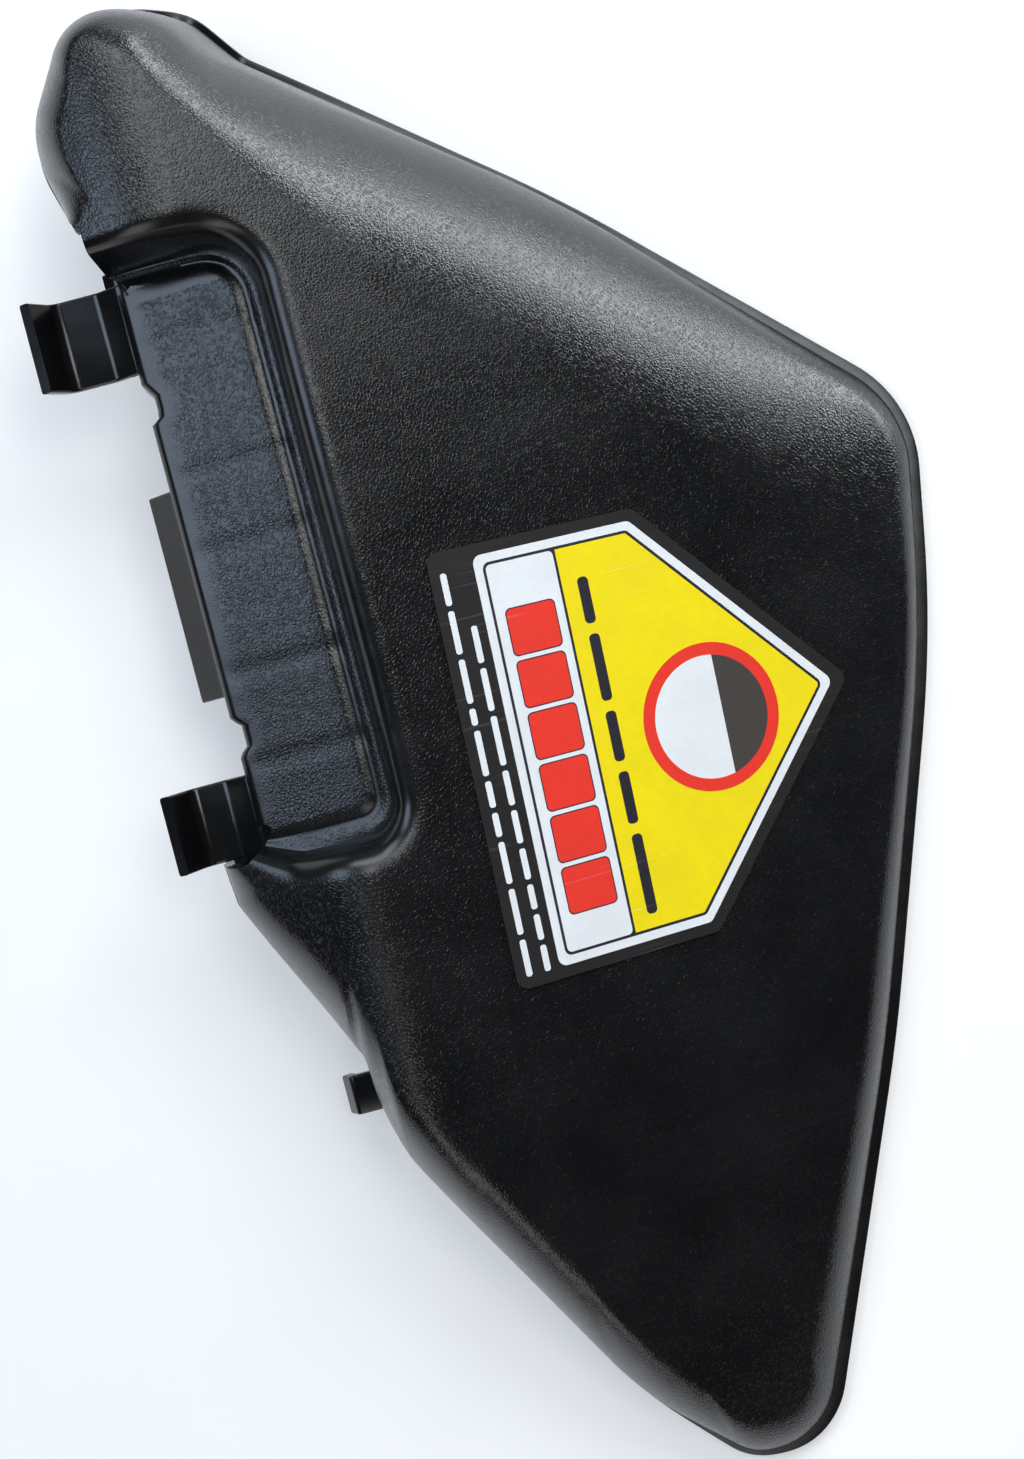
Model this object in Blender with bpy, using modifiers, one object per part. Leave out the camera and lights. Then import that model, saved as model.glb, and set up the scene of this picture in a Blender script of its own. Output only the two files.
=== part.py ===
"""Side discharge chute of a walk-behind mower: one moulded hood with two hooks, and a film decal.

Metres, +Z up. +Y runs along the hinge line towards the lobe, +X from the hinge line to the outlet.
The rim rests on z = 0 and the origin is the middle of the footprint.
"""
import math

import bmesh
import bpy
import numpy as np
from mathutils import Matrix, Vector

# Skin and rim
WALL = 0.0025
RIM_HEIGHT = 0.0045
WALL_SHARE_JOINED = 0.85

# Main face: a slope towards the outlet, easing down towards lobe and tail
CREST_X = -0.035
CREST_Y = -0.029
CREST_HEIGHT = 0.062
FALL_TO_OUTLET = 0.362
FALL_TO_TAIL = 0.095
FLAT_FROM_Y = -0.095
FLAT_TO_Y = 0.030
LOBE_EASE = 0.9
TAIL_EASE = 0.8

# Slopes on the hinge side, beyond the soft creases of the lobe and of the rear facet
LOBE_CREASE_X = -0.057
LOBE_FALL = 0.32
FACET_CREASE_X = -0.050
FACET_FALL = 0.55
CREASE_SOFTNESS = 0.007

# Wide round shoulder along the front edge, narrower on the lobe
FRONT_SHOULDER = 0.042
LOBE_SHOULDER = 0.015
LOBE_SHOULDER_X = -0.065
FRONT_SHOULDER_X = 0.010
MOST_SPAN_ROUNDED = 0.75
LEAST_SQUARENESS = 0.45

# Recess for the raised door: panel, groove, ledge and wall
PANEL_HEIGHT = 0.054
PANEL_FALL = 0.21
PANEL_EDGE_X = -0.0415
HINGE_X = -0.0675
GROOVE_WIDTH = 0.0017
GROOVE_DEPTH = 0.0009
PANEL_EDGE_DROP = 0.0002
LEDGE_DROP = 0.00045
WALL_DRAFT = 0.0022
MOST_WIDTH_DRAFTED = 0.35
MOST_HEIGHT_ROUNDED = 0.70

# Downturned lip along the hinge edge
LIP_DROP = 0.0120
LIP_FLARE = 0.0008
LIP_RADIUS = 0.0028

# Two shallow notches in the hinge edge: middle and half length along y
NOTCH_DEPTH = 0.0023
NOTCH_HALF = 0.0043
NOTCH_EASE = 0.0015
NOTCHES_Y = (0.0760, -0.0058)

# Corners of the wall foot: x, y, corner radius, place on the recess ridge,
# soft sampling width, edge rounding, flange width, foot height
LOBE_TOP = (-0.0635, 0.1784, 0.022, 0.58, 0.013, 0.012, 0.0012, 0.025)
LOBE_FRONT = (-0.0395, 0.1722, 0.018, 0.74, 0.014, 0.012, 0.0018, 0.015)
FRONT_START = (-0.0285, 0.1595, 0.020, 0.86, 0.018, 0.008, 0.0018, 0.006)
FRONT_BOW = (0.0400, 0.1062, 0.300, 1.40, 0.042, 0.0015, 0.0015, 0.000)
OUTLET_START = (0.1137, 0.0325, 0.030, 2.23, 0.030, 0.006, 0.0026, 0.000)
REAR_WALL = (-0.0615, -0.1135, 0.040, 4.50, 0.018, 0.016, 0.0006, 0.000)
OUTLINE = (
    (-0.0755, 0.1215, 0.000, 0.00, 0.006, 0.006, 0.0006, 0.042),
    (-0.0818, 0.1430, 0.026, 0.30, 0.012, 0.012, 0.0006, 0.038),
    LOBE_TOP,
    LOBE_FRONT,
    FRONT_START,
    FRONT_BOW,
    OUTLET_START,
    (0.1022, -0.0255, 0.350, 2.50, 0.007, 0.005, 0.0030, 0.000),
    (0.0674, -0.1225, 0.500, 2.80, 0.010, 0.008, 0.0030, 0.000),
    (0.0262, -0.2183, 0.019, 3.10, 0.012, 0.010, 0.0030, 0.000),
    (0.0070, -0.2184, 0.014, 3.85, 0.016, 0.014, 0.0022, 0.000),
    (-0.0165, -0.1960, 0.080, 4.15, 0.022, 0.020, 0.0010, 0.000),
    REAR_WALL,
    (-0.0615, -0.0940, 0.020, 4.62, 0.014, 0.012, 0.0006, 0.006),
    (-0.0812, -0.0455, 0.004, 5.40, 0.009, 0.008, 0.0006, 0.028),
    (-0.0818, -0.0352, 0.000, 6.00, 0.007, 0.007, 0.0006, 0.030),
)

# Open paths of the recess, from the lobe end to the tail end: x, y, corner radius.
# The third and fourth rows only mark where the long straight side begins and ends.
RIDGE = (
    (-0.0715, 0.1150, 0.000),
    (-0.0290, 0.1150, 0.018),
    (-0.0290, 0.0880, 0.000),
    (-0.0290, -0.0180, 0.000),
    (-0.0290, -0.0460, 0.016),
    (-0.0660, -0.0445, 0.008),
    (-0.0750, -0.0360, 0.000),
)
LEDGE = (
    (-0.0704, 0.1088, 0.000),
    (-0.0365, 0.1080, 0.013),
    (-0.0365, 0.0880, 0.000),
    (-0.0365, -0.0180, 0.000),
    (-0.0365, -0.0365, 0.008),
    (-0.0610, -0.0360, 0.006),
    (-0.0697, -0.0325, 0.000),
)
PANEL = (
    (-0.0680, 0.1060, 0.000),
    (-0.0415, 0.1040, 0.009),
    (-0.0415, 0.0880, 0.000),
    (-0.0415, -0.0180, 0.000),
    (-0.0415, -0.0300, 0.0040),
    (-0.0580, -0.0303, 0.010),
    (-0.0680, -0.0302, 0.000),
)
HINGE_LINE_Y = (0.1040, 0.0970, 0.0850, -0.0180, -0.0225, -0.0250, -0.0275)

# Two J-hooks on the hinge edge: y from, y to and end of the flat floor of each
HOOKS = ((0.0850, 0.1070, 0.0172), (-0.0343, -0.0150, 0.0150))
HOOK_THICKNESS = 0.0026
HOOK_ROOT_DROP = 0.0038
HOOK_ROOT_REACH = 0.0028
HOOK_FLOOR_DROP = 0.0070
HOOK_FLOOR_START = 0.0085
HOOK_BEND = 0.0030
HOOK_LIP_HEIGHT = 0.0098
HOOK_LIP_ANGLE = math.radians(68)

# Middle tab below the hinge edge
TAB_Y = (0.0044, 0.0560)
TAB_THICKNESS = 0.0024
TAB_TOP_DROP = 0.0050
TAB_REACH = 0.0095
TAB_FALL = 0.0075
TAB_ROOT_REACH = 0.0032
TAB_ROOT_FALL = 0.0019

# Ribs under the panel
RIBS_Y = (0.0904, 0.0580, 0.0390, 0.0090, -0.0130)
RIB_THICKNESS = 0.0018
RIB_DEPTH = 0.0100

# Hooked ear on the rear edge
EAR_Y = -0.1012
EAR_HALF_WIDTH = 0.0050
EAR_REACH = 0.0088
EAR_HEIGHT = 0.0170
EAR_THICKNESS = 0.0030
EAR_HOOK_DROP = 0.0045
EAR_HOOK_LENGTH = 0.0022

# Film decal on the main face
DECAL_X = -0.0174
DECAL_Y = -0.0283
DECAL_TURN = math.radians(-2.7)
DECAL_WIDTH = 0.1060
DECAL_SIDE = 0.0540
DECAL_POINT = 0.0484
DECAL_CORNER = 0.0030
DECAL_THICKNESS = 0.0003
SEAT_GAP = 0.0003

SMALL_BEVEL = 0.0005
BEVEL_ANGLE = math.radians(50)

# Stand-in finishes: colour and roughness
BLACK_PLASTIC = ((0.012, 0.012, 0.014), 0.42)
PRINTED_FILM = ((0.85, 0.68, 0.02), 0.30)

# Mesh spacing: along the outline, and round the corners of paths and loops
STATION_STEP = 0.021
STATION_TURN = math.radians(14)
PATH_TURN = math.radians(6)
LOOP_TURN = math.radians(15)
TANGENT_REACH = 0.0006


class Path:
    """An open path of straight runs and corner arcs. Place k is the middle of corner k's arc."""

    def __init__(self, corners):
        points = [np.array(corners[0][:2])]
        marks = [0]
        for before, corner, after in zip(corners, corners[1:], corners[2:]):
            here = np.array(corner[:2])
            into = here - np.array(before[:2])
            out = np.array(after[:2]) - here
            into /= np.linalg.norm(into)
            out /= np.linalg.norm(out)
            turn = math.atan2(into[0] * out[1] - into[1] * out[0], into @ out)
            reach = corner[2] * math.tan(abs(turn) / 2)
            start = here - into * reach
            count = 2 * max(1, math.ceil(abs(turn) / PATH_TURN))
            side = np.array((-into[1], into[0])) * math.copysign(1, turn)
            centre = start + side * corner[2]
            for index in range(count + 1):
                angle = turn * index / count
                spoke = start - centre
                cos, sin = math.cos(angle), math.sin(angle)
                points.append(centre + np.array((cos * spoke[0] - sin * spoke[1],
                                                 sin * spoke[0] + cos * spoke[1])))
            marks.append(len(points) - 1 - count // 2)
        points.append(np.array(corners[-1][:2]))
        marks.append(len(points) - 1)
        self.points = np.array(points)
        steps = np.linalg.norm(np.diff(self.points, axis=0), axis=1)
        self.along = np.concatenate(((0.0,), np.cumsum(steps)))
        self.marks = self.along[marks]

    def at_length(self, length):
        x = np.interp(length, self.along, self.points[:, 0])
        y = np.interp(length, self.along, self.points[:, 1])
        return np.stack((x, y), axis=-1)

    def at(self, place):
        return self.at_length(np.interp(place, np.arange(len(self.marks)), self.marks))


def smooth_step(value):
    value = np.clip(value, 0, 1)
    return value * value * (3 - 2 * value)


def smooth_min(first, second, softness):
    """The smaller of two heights, rounded where they differ by less than the softness."""
    blend = np.maximum(softness - np.abs(first - second), 0) / softness
    return np.minimum(first, second) - blend * blend * softness / 4


def quarter_round(value):
    """Height share of a quarter ellipse at a share of its width."""
    value = 1 - np.clip(value, 0, 1)
    return np.sqrt(1 - value * value)


def distance_inside(spots, path):
    """Distance from each spot to an open path, positive on its right-hand side."""
    start, end = path.points[:-1], path.points[1:]
    run = end - start
    length = np.linalg.norm(run, axis=1)
    offset = spots[..., None, :] - start
    share = np.clip((offset * run).sum(-1) / length ** 2, 0, 1)
    away = offset - share[..., None] * run
    gap = np.linalg.norm(away, axis=-1)
    nearest = gap.argmin(axis=-1)
    side = run[..., 0] * offset[..., 1] - run[..., 1] * offset[..., 0]
    pick = nearest[..., None]
    gap = np.take_along_axis(gap, pick, -1)[..., 0]
    side = np.take_along_axis(side, pick, -1)[..., 0]
    return np.where(side < 0, gap, -gap)


def front_edge():
    """The front edge of the outline, run on past the lobe and past the outlet corner."""
    first, second = np.array(LOBE_TOP[:2]), np.array(LOBE_FRONT[:2])
    bow, last = np.array(FRONT_BOW[:2]), np.array(OUTLET_START[:2])
    corners = [row[:3] for row in (LOBE_FRONT, FRONT_START, FRONT_BOW)]
    return Path([(*(2 * first - second), 0), *corners, (*(2 * last - bow), 0)])


FRONT_EDGE = front_edge()


def main_face(x, y):
    """The large sloping face, flat under the decal and easing down at both ends."""
    height = CREST_HEIGHT - FALL_TO_OUTLET * (x - CREST_X) + FALL_TO_TAIL * (y - CREST_Y)
    height = height - LOBE_EASE * np.maximum(y - FLAT_TO_Y, 0) ** 2
    return height - TAIL_EASE * np.maximum(FLAT_FROM_Y - y, 0) ** 2


def roof(spots, base):
    """Height of the outer face, rounded down to a base height along the front edge."""
    x, y = spots[..., 0], spots[..., 1]
    lobe_side = y > (FLAT_TO_Y + CREST_Y) / 2
    crease_x = np.where(lobe_side, LOBE_CREASE_X, FACET_CREASE_X)
    fall = np.where(lobe_side, LOBE_FALL, FACET_FALL)
    strip = main_face(crease_x, y) + fall * (x - crease_x)
    height = smooth_min(main_face(x, y), strip, CREASE_SOFTNESS)
    inside = distance_inside(spots, FRONT_EDGE)
    share = smooth_step((x - LOBE_SHOULDER_X) / (FRONT_SHOULDER_X - LOBE_SHOULDER_X))
    width = LOBE_SHOULDER + (FRONT_SHOULDER - LOBE_SHOULDER) * share
    return base + (height - base) * quarter_round(inside / width)


def panel_height(x):
    return PANEL_HEIGHT + PANEL_FALL * (x - PANEL_EDGE_X)


def hinge_line(place):
    """Edge of the panel on the hinge side, with its two notches."""
    y = np.interp(place, np.arange(len(HINGE_LINE_Y)), HINGE_LINE_Y)
    x = np.full_like(y, HINGE_X)
    for middle in NOTCHES_Y:
        x += NOTCH_DEPTH * np.clip((NOTCH_HALF - np.abs(y - middle)) / NOTCH_EASE, 0, 1)
    return np.stack((x, y), axis=-1)


def station_lengths(outline):
    """Stations along the outline, closer together where it bends."""
    count, window = 1500, 9
    lengths = np.linspace(0, outline.along[-1], count)
    heading = np.diff(outline.at_length(lengths), axis=0)
    angle = np.unwrap(np.arctan2(heading[:, 1], heading[:, 0]))
    bend = np.abs(np.gradient(angle))
    bend = np.convolve(bend, np.full(window, 1 / window), mode="same")
    weight = np.diff(lengths) / STATION_STEP + bend / STATION_TURN
    total = np.concatenate(((0.0,), np.cumsum(weight)))
    return np.interp(np.linspace(0, total[-1], math.ceil(total[-1]) + 1), total, lengths)


def blend_column(place, column):
    """A value of the outline table, eased from corner to corner."""
    values = np.array([row[column] for row in OUTLINE])
    base = np.clip(np.floor(place).astype(int), 0, len(values) - 2)
    share = smooth_step(place - base)
    return values[base] * (1 - share) + values[base + 1] * share


def with_height(spots, height):
    return np.concatenate((spots, np.broadcast_to(height, spots.shape[:-1])[..., None]), axis=-1)


def skin_rows():
    """Rows of points from the hinge lip outwards over the hood to the foot of the rim."""
    outline = Path([row[:3] for row in OUTLINE])
    lengths = station_lengths(outline)
    place = np.interp(lengths, outline.marks, np.arange(len(outline.marks)))
    foot = outline.at_length(lengths)
    ahead = outline.at_length(np.minimum(lengths + TANGENT_REACH, outline.along[-1]))
    behind = outline.at_length(np.maximum(lengths - TANGENT_REACH, 0))
    tangent = (ahead - behind) / np.linalg.norm(ahead - behind, axis=1)[:, None]
    outward = np.stack((-tangent[:, 1], tangent[:, 0]), axis=-1)
    ridge_place = np.interp(place, np.arange(len(OUTLINE)), [row[3] for row in OUTLINE])
    soft, edge = blend_column(place, 4), blend_column(place, 5)
    flange, foot_height = blend_column(place, 6), blend_column(place, 7)
    rim_top = foot_height + RIM_HEIGHT
    ridge, ledge, panel = (Path(path).at(ridge_place) for path in (RIDGE, LEDGE, PANEL))
    hinge = hinge_line(ridge_place)
    rows = []

    # Lip and the round edge between it and the panel
    slope = math.atan(PANEL_FALL)
    lip_angle = math.atan2(LIP_DROP, LIP_FLARE)
    edge_count = 3
    centre = hinge
    centre_height = panel_height(centre[:, 0]) - LIP_RADIUS / math.cos(slope)
    left = math.pi / 2 + lip_angle
    low = centre[:, 0] + LIP_RADIUS * math.cos(left) - LIP_FLARE
    low_height = centre_height + LIP_RADIUS * math.sin(left) - LIP_DROP
    rows.append(np.stack((low, hinge[:, 1], low_height), axis=-1))
    middle = np.stack((low + LIP_FLARE / 2, hinge[:, 1], low_height + LIP_DROP / 2), axis=-1)
    rows.append(middle)
    for index in range(edge_count + 1):
        angle = left + (math.pi / 2 + slope - left) * index / edge_count
        x = centre[:, 0] + LIP_RADIUS * math.cos(angle)
        rows.append(np.stack((x, hinge[:, 1], centre_height + LIP_RADIUS * math.sin(angle)), axis=-1))
    start = rows[-1][:, :2]

    # Panel, its round edge and the groove round it
    out = ledge - panel
    out /= np.linalg.norm(out, axis=1)[:, None]
    inner = panel - out * GROOVE_WIDTH
    panel_count = 3
    for index in range(1, panel_count + 1):
        spots = start + (inner - start) * index / panel_count
        rows.append(with_height(spots, panel_height(spots[:, 0])))
    rows.append(with_height(panel, panel_height(panel[:, 0]) - PANEL_EDGE_DROP))
    groove = panel + out * GROOVE_WIDTH
    rows.append(with_height(groove, panel_height(groove[:, 0]) - GROOVE_DEPTH))
    ledge_height = panel_height(ledge[:, 0]) - LEDGE_DROP
    rows.append(with_height(ledge, ledge_height))

    # Wall of the recess and the round ridge above it
    across = ridge - ledge
    width = np.linalg.norm(across, axis=1)
    draft = np.minimum(WALL_DRAFT, width * MOST_WIDTH_DRAFTED)
    corner = ledge + across * (draft / width)[:, None]
    corner_height = roof(corner, rim_top)
    round_width = width - draft
    drop = np.minimum(round_width, (corner_height - ledge_height) * MOST_HEIGHT_ROUNDED)
    share = (drop / (corner_height - ledge_height))[:, None]
    low_point = with_height(corner, corner_height)
    low_point = low_point + (with_height(ledge, ledge_height) - low_point) * share
    high_point = with_height(ridge, roof(ridge, rim_top))
    turn_point = with_height(corner, corner_height)
    ridge_count = 5
    for index in range(ridge_count + 1):
        t = index / ridge_count
        rows.append(low_point * (1 - t) ** 2 + turn_point * 2 * t * (1 - t) + high_point * t ** 2)

    # Roof, then the shoulder down to the wall foot
    inward = ridge - foot
    span = np.linalg.norm(inward, axis=1)
    inward /= span[:, None]
    square = np.maximum(-(inward * outward).sum(axis=1), LEAST_SQUARENESS)
    soft = np.minimum(soft / square, span * MOST_SPAN_ROUNDED)
    edge = np.minimum(edge / square, span * MOST_SPAN_ROUNDED)
    roof_count = 4
    for index in range(1, roof_count):
        spots = ridge + (foot + inward * soft[:, None] - ridge) * index / roof_count
        rows.append(with_height(spots, roof(spots, rim_top)))
    shoulder_count = 8
    for index in range(shoulder_count, 0, -1):
        reach = soft * (1 - math.cos(math.pi / 2 * index / shoulder_count))
        spots = foot + inward * reach[:, None]
        height = rim_top + (roof(spots, rim_top) - rim_top) * quarter_round(reach / edge)
        rows.append(with_height(spots, height))

    # Stepped rim
    rows.append(with_height(foot, rim_top))
    brink = foot + outward * flange[:, None]
    rows.append(with_height(brink, rim_top))
    rows.append(with_height(brink, foot_height))
    return rows


def add_object(name, mesh, collection):
    item = bpy.data.objects.new(name, mesh)
    collection.objects.link(item)
    return item


def skin_mesh(name, rows):
    """A quad sheet over the rows, with its faces outwards."""
    mesh = bpy.data.meshes.new(name)
    count = len(rows[0])
    points = np.concatenate(rows)
    faces = []
    for row in range(len(rows) - 1):
        for station in range(count - 1):
            first = row * count + station
            faces.append((first, first + 1, first + count + 1, first + count))
    mesh.from_pydata(points.tolist(), [], faces)
    return mesh


def new_collection(name):
    collection = bpy.data.collections.new(name)
    bpy.context.scene.collection.children.link(collection)
    return collection


def set_aside(item):
    """Marks an object that only cuts or joins, so that it is no part by itself."""
    item.hide_render = True
    item.display_type = "WIRE"
    return item


def thicken(item, thickness, offset=-1):
    shell = item.modifiers.new("thickness", "SOLIDIFY")
    shell.thickness = thickness
    shell.offset = offset
    shell.use_even_offset = True


def small_bevel(item):
    bevel = item.modifiers.new("edges", "BEVEL")
    bevel.width = SMALL_BEVEL
    bevel.segments = 1
    bevel.limit_method = "ANGLE"
    bevel.angle_limit = BEVEL_ANGLE


def bent_strip(name, profile, y_range, thickness, collection):
    """A strip of even thickness, bent along a profile in x and z and as wide as its y range."""
    rows = [np.array([(x, y, z) for y in y_range]) for x, z in profile]
    item = set_aside(add_object(name, skin_mesh(name, rows), collection))
    thicken(item, thickness)
    small_bevel(item)
    return item


def flat_plate(name, outline, thickness, matrix, collection):
    """A flat plate over a closed outline in its own x and y."""
    curve = bpy.data.curves.new(name, "CURVE")
    curve.dimensions = "2D"
    curve.fill_mode = "BOTH"
    curve.extrude = thickness / 2
    spline = curve.splines.new("POLY")
    spline.points.add(len(outline) - 1)
    for point, (x, y) in zip(spline.points, outline):
        point.co = (x, y, 0, 1)
    spline.use_cyclic_u = True
    shape = bpy.data.objects.new(name, curve)
    collection.objects.link(shape)
    shape.matrix_world = matrix
    bpy.context.view_layer.update()
    mesh = bpy.data.meshes.new_from_object(shape.evaluated_get(bpy.context.evaluated_depsgraph_get()))
    bpy.data.objects.remove(shape)
    edit = bmesh.new()
    edit.from_mesh(mesh)
    bmesh.ops.remove_doubles(edit, verts=edit.verts, dist=0.000001)
    edit.to_mesh(mesh)
    edit.free()
    mesh.name = name
    item = add_object(name, mesh, collection)
    item.matrix_world = matrix
    return item


def rounded_loop(corners):
    """A closed outline with an arc at each corner: x, y, radius."""
    points = []
    count = len(corners)
    for index, corner in enumerate(corners):
        here = np.array(corner[:2])
        into = here - np.array(corners[index - 1][:2])
        out = np.array(corners[(index + 1) % count][:2]) - here
        into /= np.linalg.norm(into)
        out /= np.linalg.norm(out)
        angle = math.atan2(into[0] * out[1] - into[1] * out[0], into @ out)
        start = here - into * corner[2] * math.tan(abs(angle) / 2)
        centre = start + np.array((-into[1], into[0])) * math.copysign(corner[2], angle)
        spoke = start - centre
        steps = max(1, math.ceil(abs(angle) / LOOP_TURN)) if corner[2] else 0
        for step in range(steps + 1):
            part = angle * step / max(steps, 1)
            cos, sin = math.cos(part), math.sin(part)
            points.append((centre[0] + cos * spoke[0] - sin * spoke[1],
                           centre[1] + sin * spoke[0] + cos * spoke[1]))
    return points


def edge_height():
    return panel_height(HINGE_X)


def lip_x(drop):
    """x of the middle of the lip's wall at a drop below the panel's edge."""
    share = drop / (LIP_DROP + LIP_RADIUS)
    return HINGE_X - LIP_RADIUS + WALL / 2 - LIP_FLARE * share


def hook_profile(floor_end):
    """Upper side of a hook: root, sloping shank, flat floor, bend and upright lip."""
    floor = edge_height() - HOOK_FLOOR_DROP
    profile = [
        (lip_x(HOOK_ROOT_DROP), edge_height() - HOOK_ROOT_DROP),
        (HINGE_X - HOOK_ROOT_REACH, edge_height() - HOOK_ROOT_DROP),
        (HINGE_X - HOOK_FLOOR_START, floor),
        (HINGE_X - floor_end, floor),
    ]
    bend_steps = 4
    for step in range(1, bend_steps + 1):
        angle = HOOK_LIP_ANGLE * step / bend_steps
        profile.append((HINGE_X - floor_end - HOOK_BEND * math.sin(angle),
                        floor + HOOK_BEND * (1 - math.cos(angle))))
    bend_x, bend_z = profile[-1]
    rise = floor + HOOK_LIP_HEIGHT - bend_z
    profile.append((bend_x - rise / math.tan(HOOK_LIP_ANGLE), bend_z + rise))
    return profile


def tab_profile():
    top = edge_height() - TAB_TOP_DROP
    return [
        (lip_x(TAB_TOP_DROP), top),
        (HINGE_X - TAB_ROOT_REACH, top - TAB_ROOT_FALL),
        (HINGE_X - TAB_REACH, top - TAB_FALL),
    ]


def rib_outline():
    """A rib's outline in x and z: its top is buried in the panel's skin, its left end in the lip."""
    buried = WALL * WALL_SHARE_JOINED
    right = LEDGE[1][0] - WALL / 2
    bottom = edge_height() - RIB_DEPTH
    return [
        (lip_x(LIP_RADIUS), edge_height() - LIP_RADIUS),
        (lip_x(RIB_DEPTH), bottom),
        (right - RIB_DEPTH / 2, bottom),
        (right, panel_height(right) - RIB_DEPTH / 2),
        (right, panel_height(right) - buried),
        (HINGE_X, panel_height(HINGE_X) - buried),
    ]


def ear_profile():
    """Upper side of the ear: a short shelf with its end turned down."""
    wall_x = REAR_WALL[0]
    return [
        (wall_x + WALL * WALL_SHARE_JOINED, EAR_HEIGHT),
        (wall_x - EAR_REACH + EAR_HOOK_LENGTH, EAR_HEIGHT),
        (wall_x - EAR_REACH, EAR_HEIGHT - EAR_HOOK_DROP),
    ]


def upright_matrix(y):
    """Stands a flat outline up, with its x along x and its y along z."""
    return Matrix(((1, 0, 0, 0), (0, 0, -1, y), (0, 1, 0, 0), (0, 0, 0, 1)))


def decal_matrix():
    """Places the decal's own x and y in the plane of the main face."""
    normal = Vector((FALL_TO_OUTLET, -FALL_TO_TAIL, 1)).normalized()
    ahead = Vector((math.cos(DECAL_TURN), math.sin(DECAL_TURN), 0))
    ahead = (ahead - normal * ahead.dot(normal)).normalized()
    side = normal.cross(ahead)
    spot = Vector((DECAL_X, DECAL_Y, main_face(DECAL_X, DECAL_Y)))
    spot += normal * (SEAT_GAP + DECAL_THICKNESS / 2)
    matrix = Matrix((ahead, side, normal)).transposed().to_4x4()
    matrix.translation = spot
    return matrix


def decal_outline():
    half = DECAL_WIDTH / 2
    return rounded_loop((
        (0, -half, DECAL_CORNER),
        (DECAL_SIDE, -half, DECAL_CORNER),
        (DECAL_SIDE + DECAL_POINT, 0, DECAL_CORNER),
        (DECAL_SIDE, half, DECAL_CORNER),
        (0, half, DECAL_CORNER),
    ))


def material(name, colour, roughness):
    made = bpy.data.materials.new(name)
    made.use_nodes = True
    shader = made.node_tree.nodes["Principled BSDF"]
    shader.inputs["Base Color"].default_value = (*colour, 1)
    shader.inputs["Roughness"].default_value = roughness
    shader.inputs["Metallic"].default_value = 0
    return made


def make_hood(parts, joined):
    rows = skin_rows()
    hood = add_object("chute_moulding", skin_mesh("chute_moulding", rows), parts)
    thicken(hood, WALL)
    for number, (start, end, floor_end) in enumerate(HOOKS, 1):
        profile = hook_profile(floor_end)
        bent_strip(f"hook_{number}", profile, (start, end), HOOK_THICKNESS, joined)
    bent_strip("tab", tab_profile(), TAB_Y, TAB_THICKNESS, joined)
    ear_range = (EAR_Y - EAR_HALF_WIDTH, EAR_Y + EAR_HALF_WIDTH)
    bent_strip("ear", ear_profile(), ear_range, EAR_THICKNESS, joined)
    for number, y in enumerate(RIBS_Y, 1):
        set_aside(flat_plate(f"rib_{number}", rib_outline(), RIB_THICKNESS, upright_matrix(y), joined))
    union = hood.modifiers.new("features", "BOOLEAN")
    union.operation = "UNION"
    union.solver = "EXACT"
    union.operand_type = "COLLECTION"
    union.collection = joined
    hood.data.shade_smooth()
    hood.data.materials.append(material("black_plastic", *BLACK_PLASTIC))
    return hood


def make_decal(parts):
    decal = flat_plate("decal_film", decal_outline(), DECAL_THICKNESS, decal_matrix(), parts)
    decal.data.materials.append(material("printed_film", *PRINTED_FILM))
    return decal


def world_bounds(items):
    graph = bpy.context.evaluated_depsgraph_get()
    spots = []
    for item in items:
        shape = item.evaluated_get(graph)
        spots.extend(item.matrix_world @ vertex.co for vertex in shape.data.vertices)
    spots = np.array(spots)
    return spots.min(axis=0), spots.max(axis=0)


def centre_footprint(items, helpers):
    """Parents everything to an empty that puts the origin under the middle of the part."""
    bpy.context.view_layer.update()
    low, high = world_bounds(items)
    middle = (low + high) / 2
    origin = bpy.data.objects.new("origin", None)
    bpy.context.scene.collection.objects.link(origin)
    for item in (*items, *helpers):
        item.parent = origin
    origin.location = (-middle[0], -middle[1], -low[2])


def main():
    for old in list(bpy.data.objects):
        bpy.data.objects.remove(old)
    parts = new_collection("side_discharge_chute")
    joined = new_collection("joined_shapes")
    hood = make_hood(parts, joined)
    decal = make_decal(parts)
    centre_footprint((hood, decal), joined.objects)


main()
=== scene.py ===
"""Looks of the side discharge chute: a black moulded hood, its hooks and ribs, and a printed film."""
import math

import bmesh
import bpy
import numpy as np
from mathutils import Matrix, Vector


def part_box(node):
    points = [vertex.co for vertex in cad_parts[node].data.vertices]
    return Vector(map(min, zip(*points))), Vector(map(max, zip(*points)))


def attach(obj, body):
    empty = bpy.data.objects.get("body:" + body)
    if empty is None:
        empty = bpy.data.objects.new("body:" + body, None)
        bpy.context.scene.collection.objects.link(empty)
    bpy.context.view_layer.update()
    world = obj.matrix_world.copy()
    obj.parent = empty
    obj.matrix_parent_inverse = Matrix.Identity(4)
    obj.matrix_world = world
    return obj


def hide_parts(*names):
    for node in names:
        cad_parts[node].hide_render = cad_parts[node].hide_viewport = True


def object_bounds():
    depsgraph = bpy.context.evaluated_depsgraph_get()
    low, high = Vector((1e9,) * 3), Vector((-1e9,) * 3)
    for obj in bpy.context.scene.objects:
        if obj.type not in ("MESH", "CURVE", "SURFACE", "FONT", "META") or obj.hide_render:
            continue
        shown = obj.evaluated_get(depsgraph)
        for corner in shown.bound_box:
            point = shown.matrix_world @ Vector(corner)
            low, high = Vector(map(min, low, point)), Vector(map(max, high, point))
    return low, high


# Skin and rim, in metres in the hinge frame
WALL = 0.0025
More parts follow.
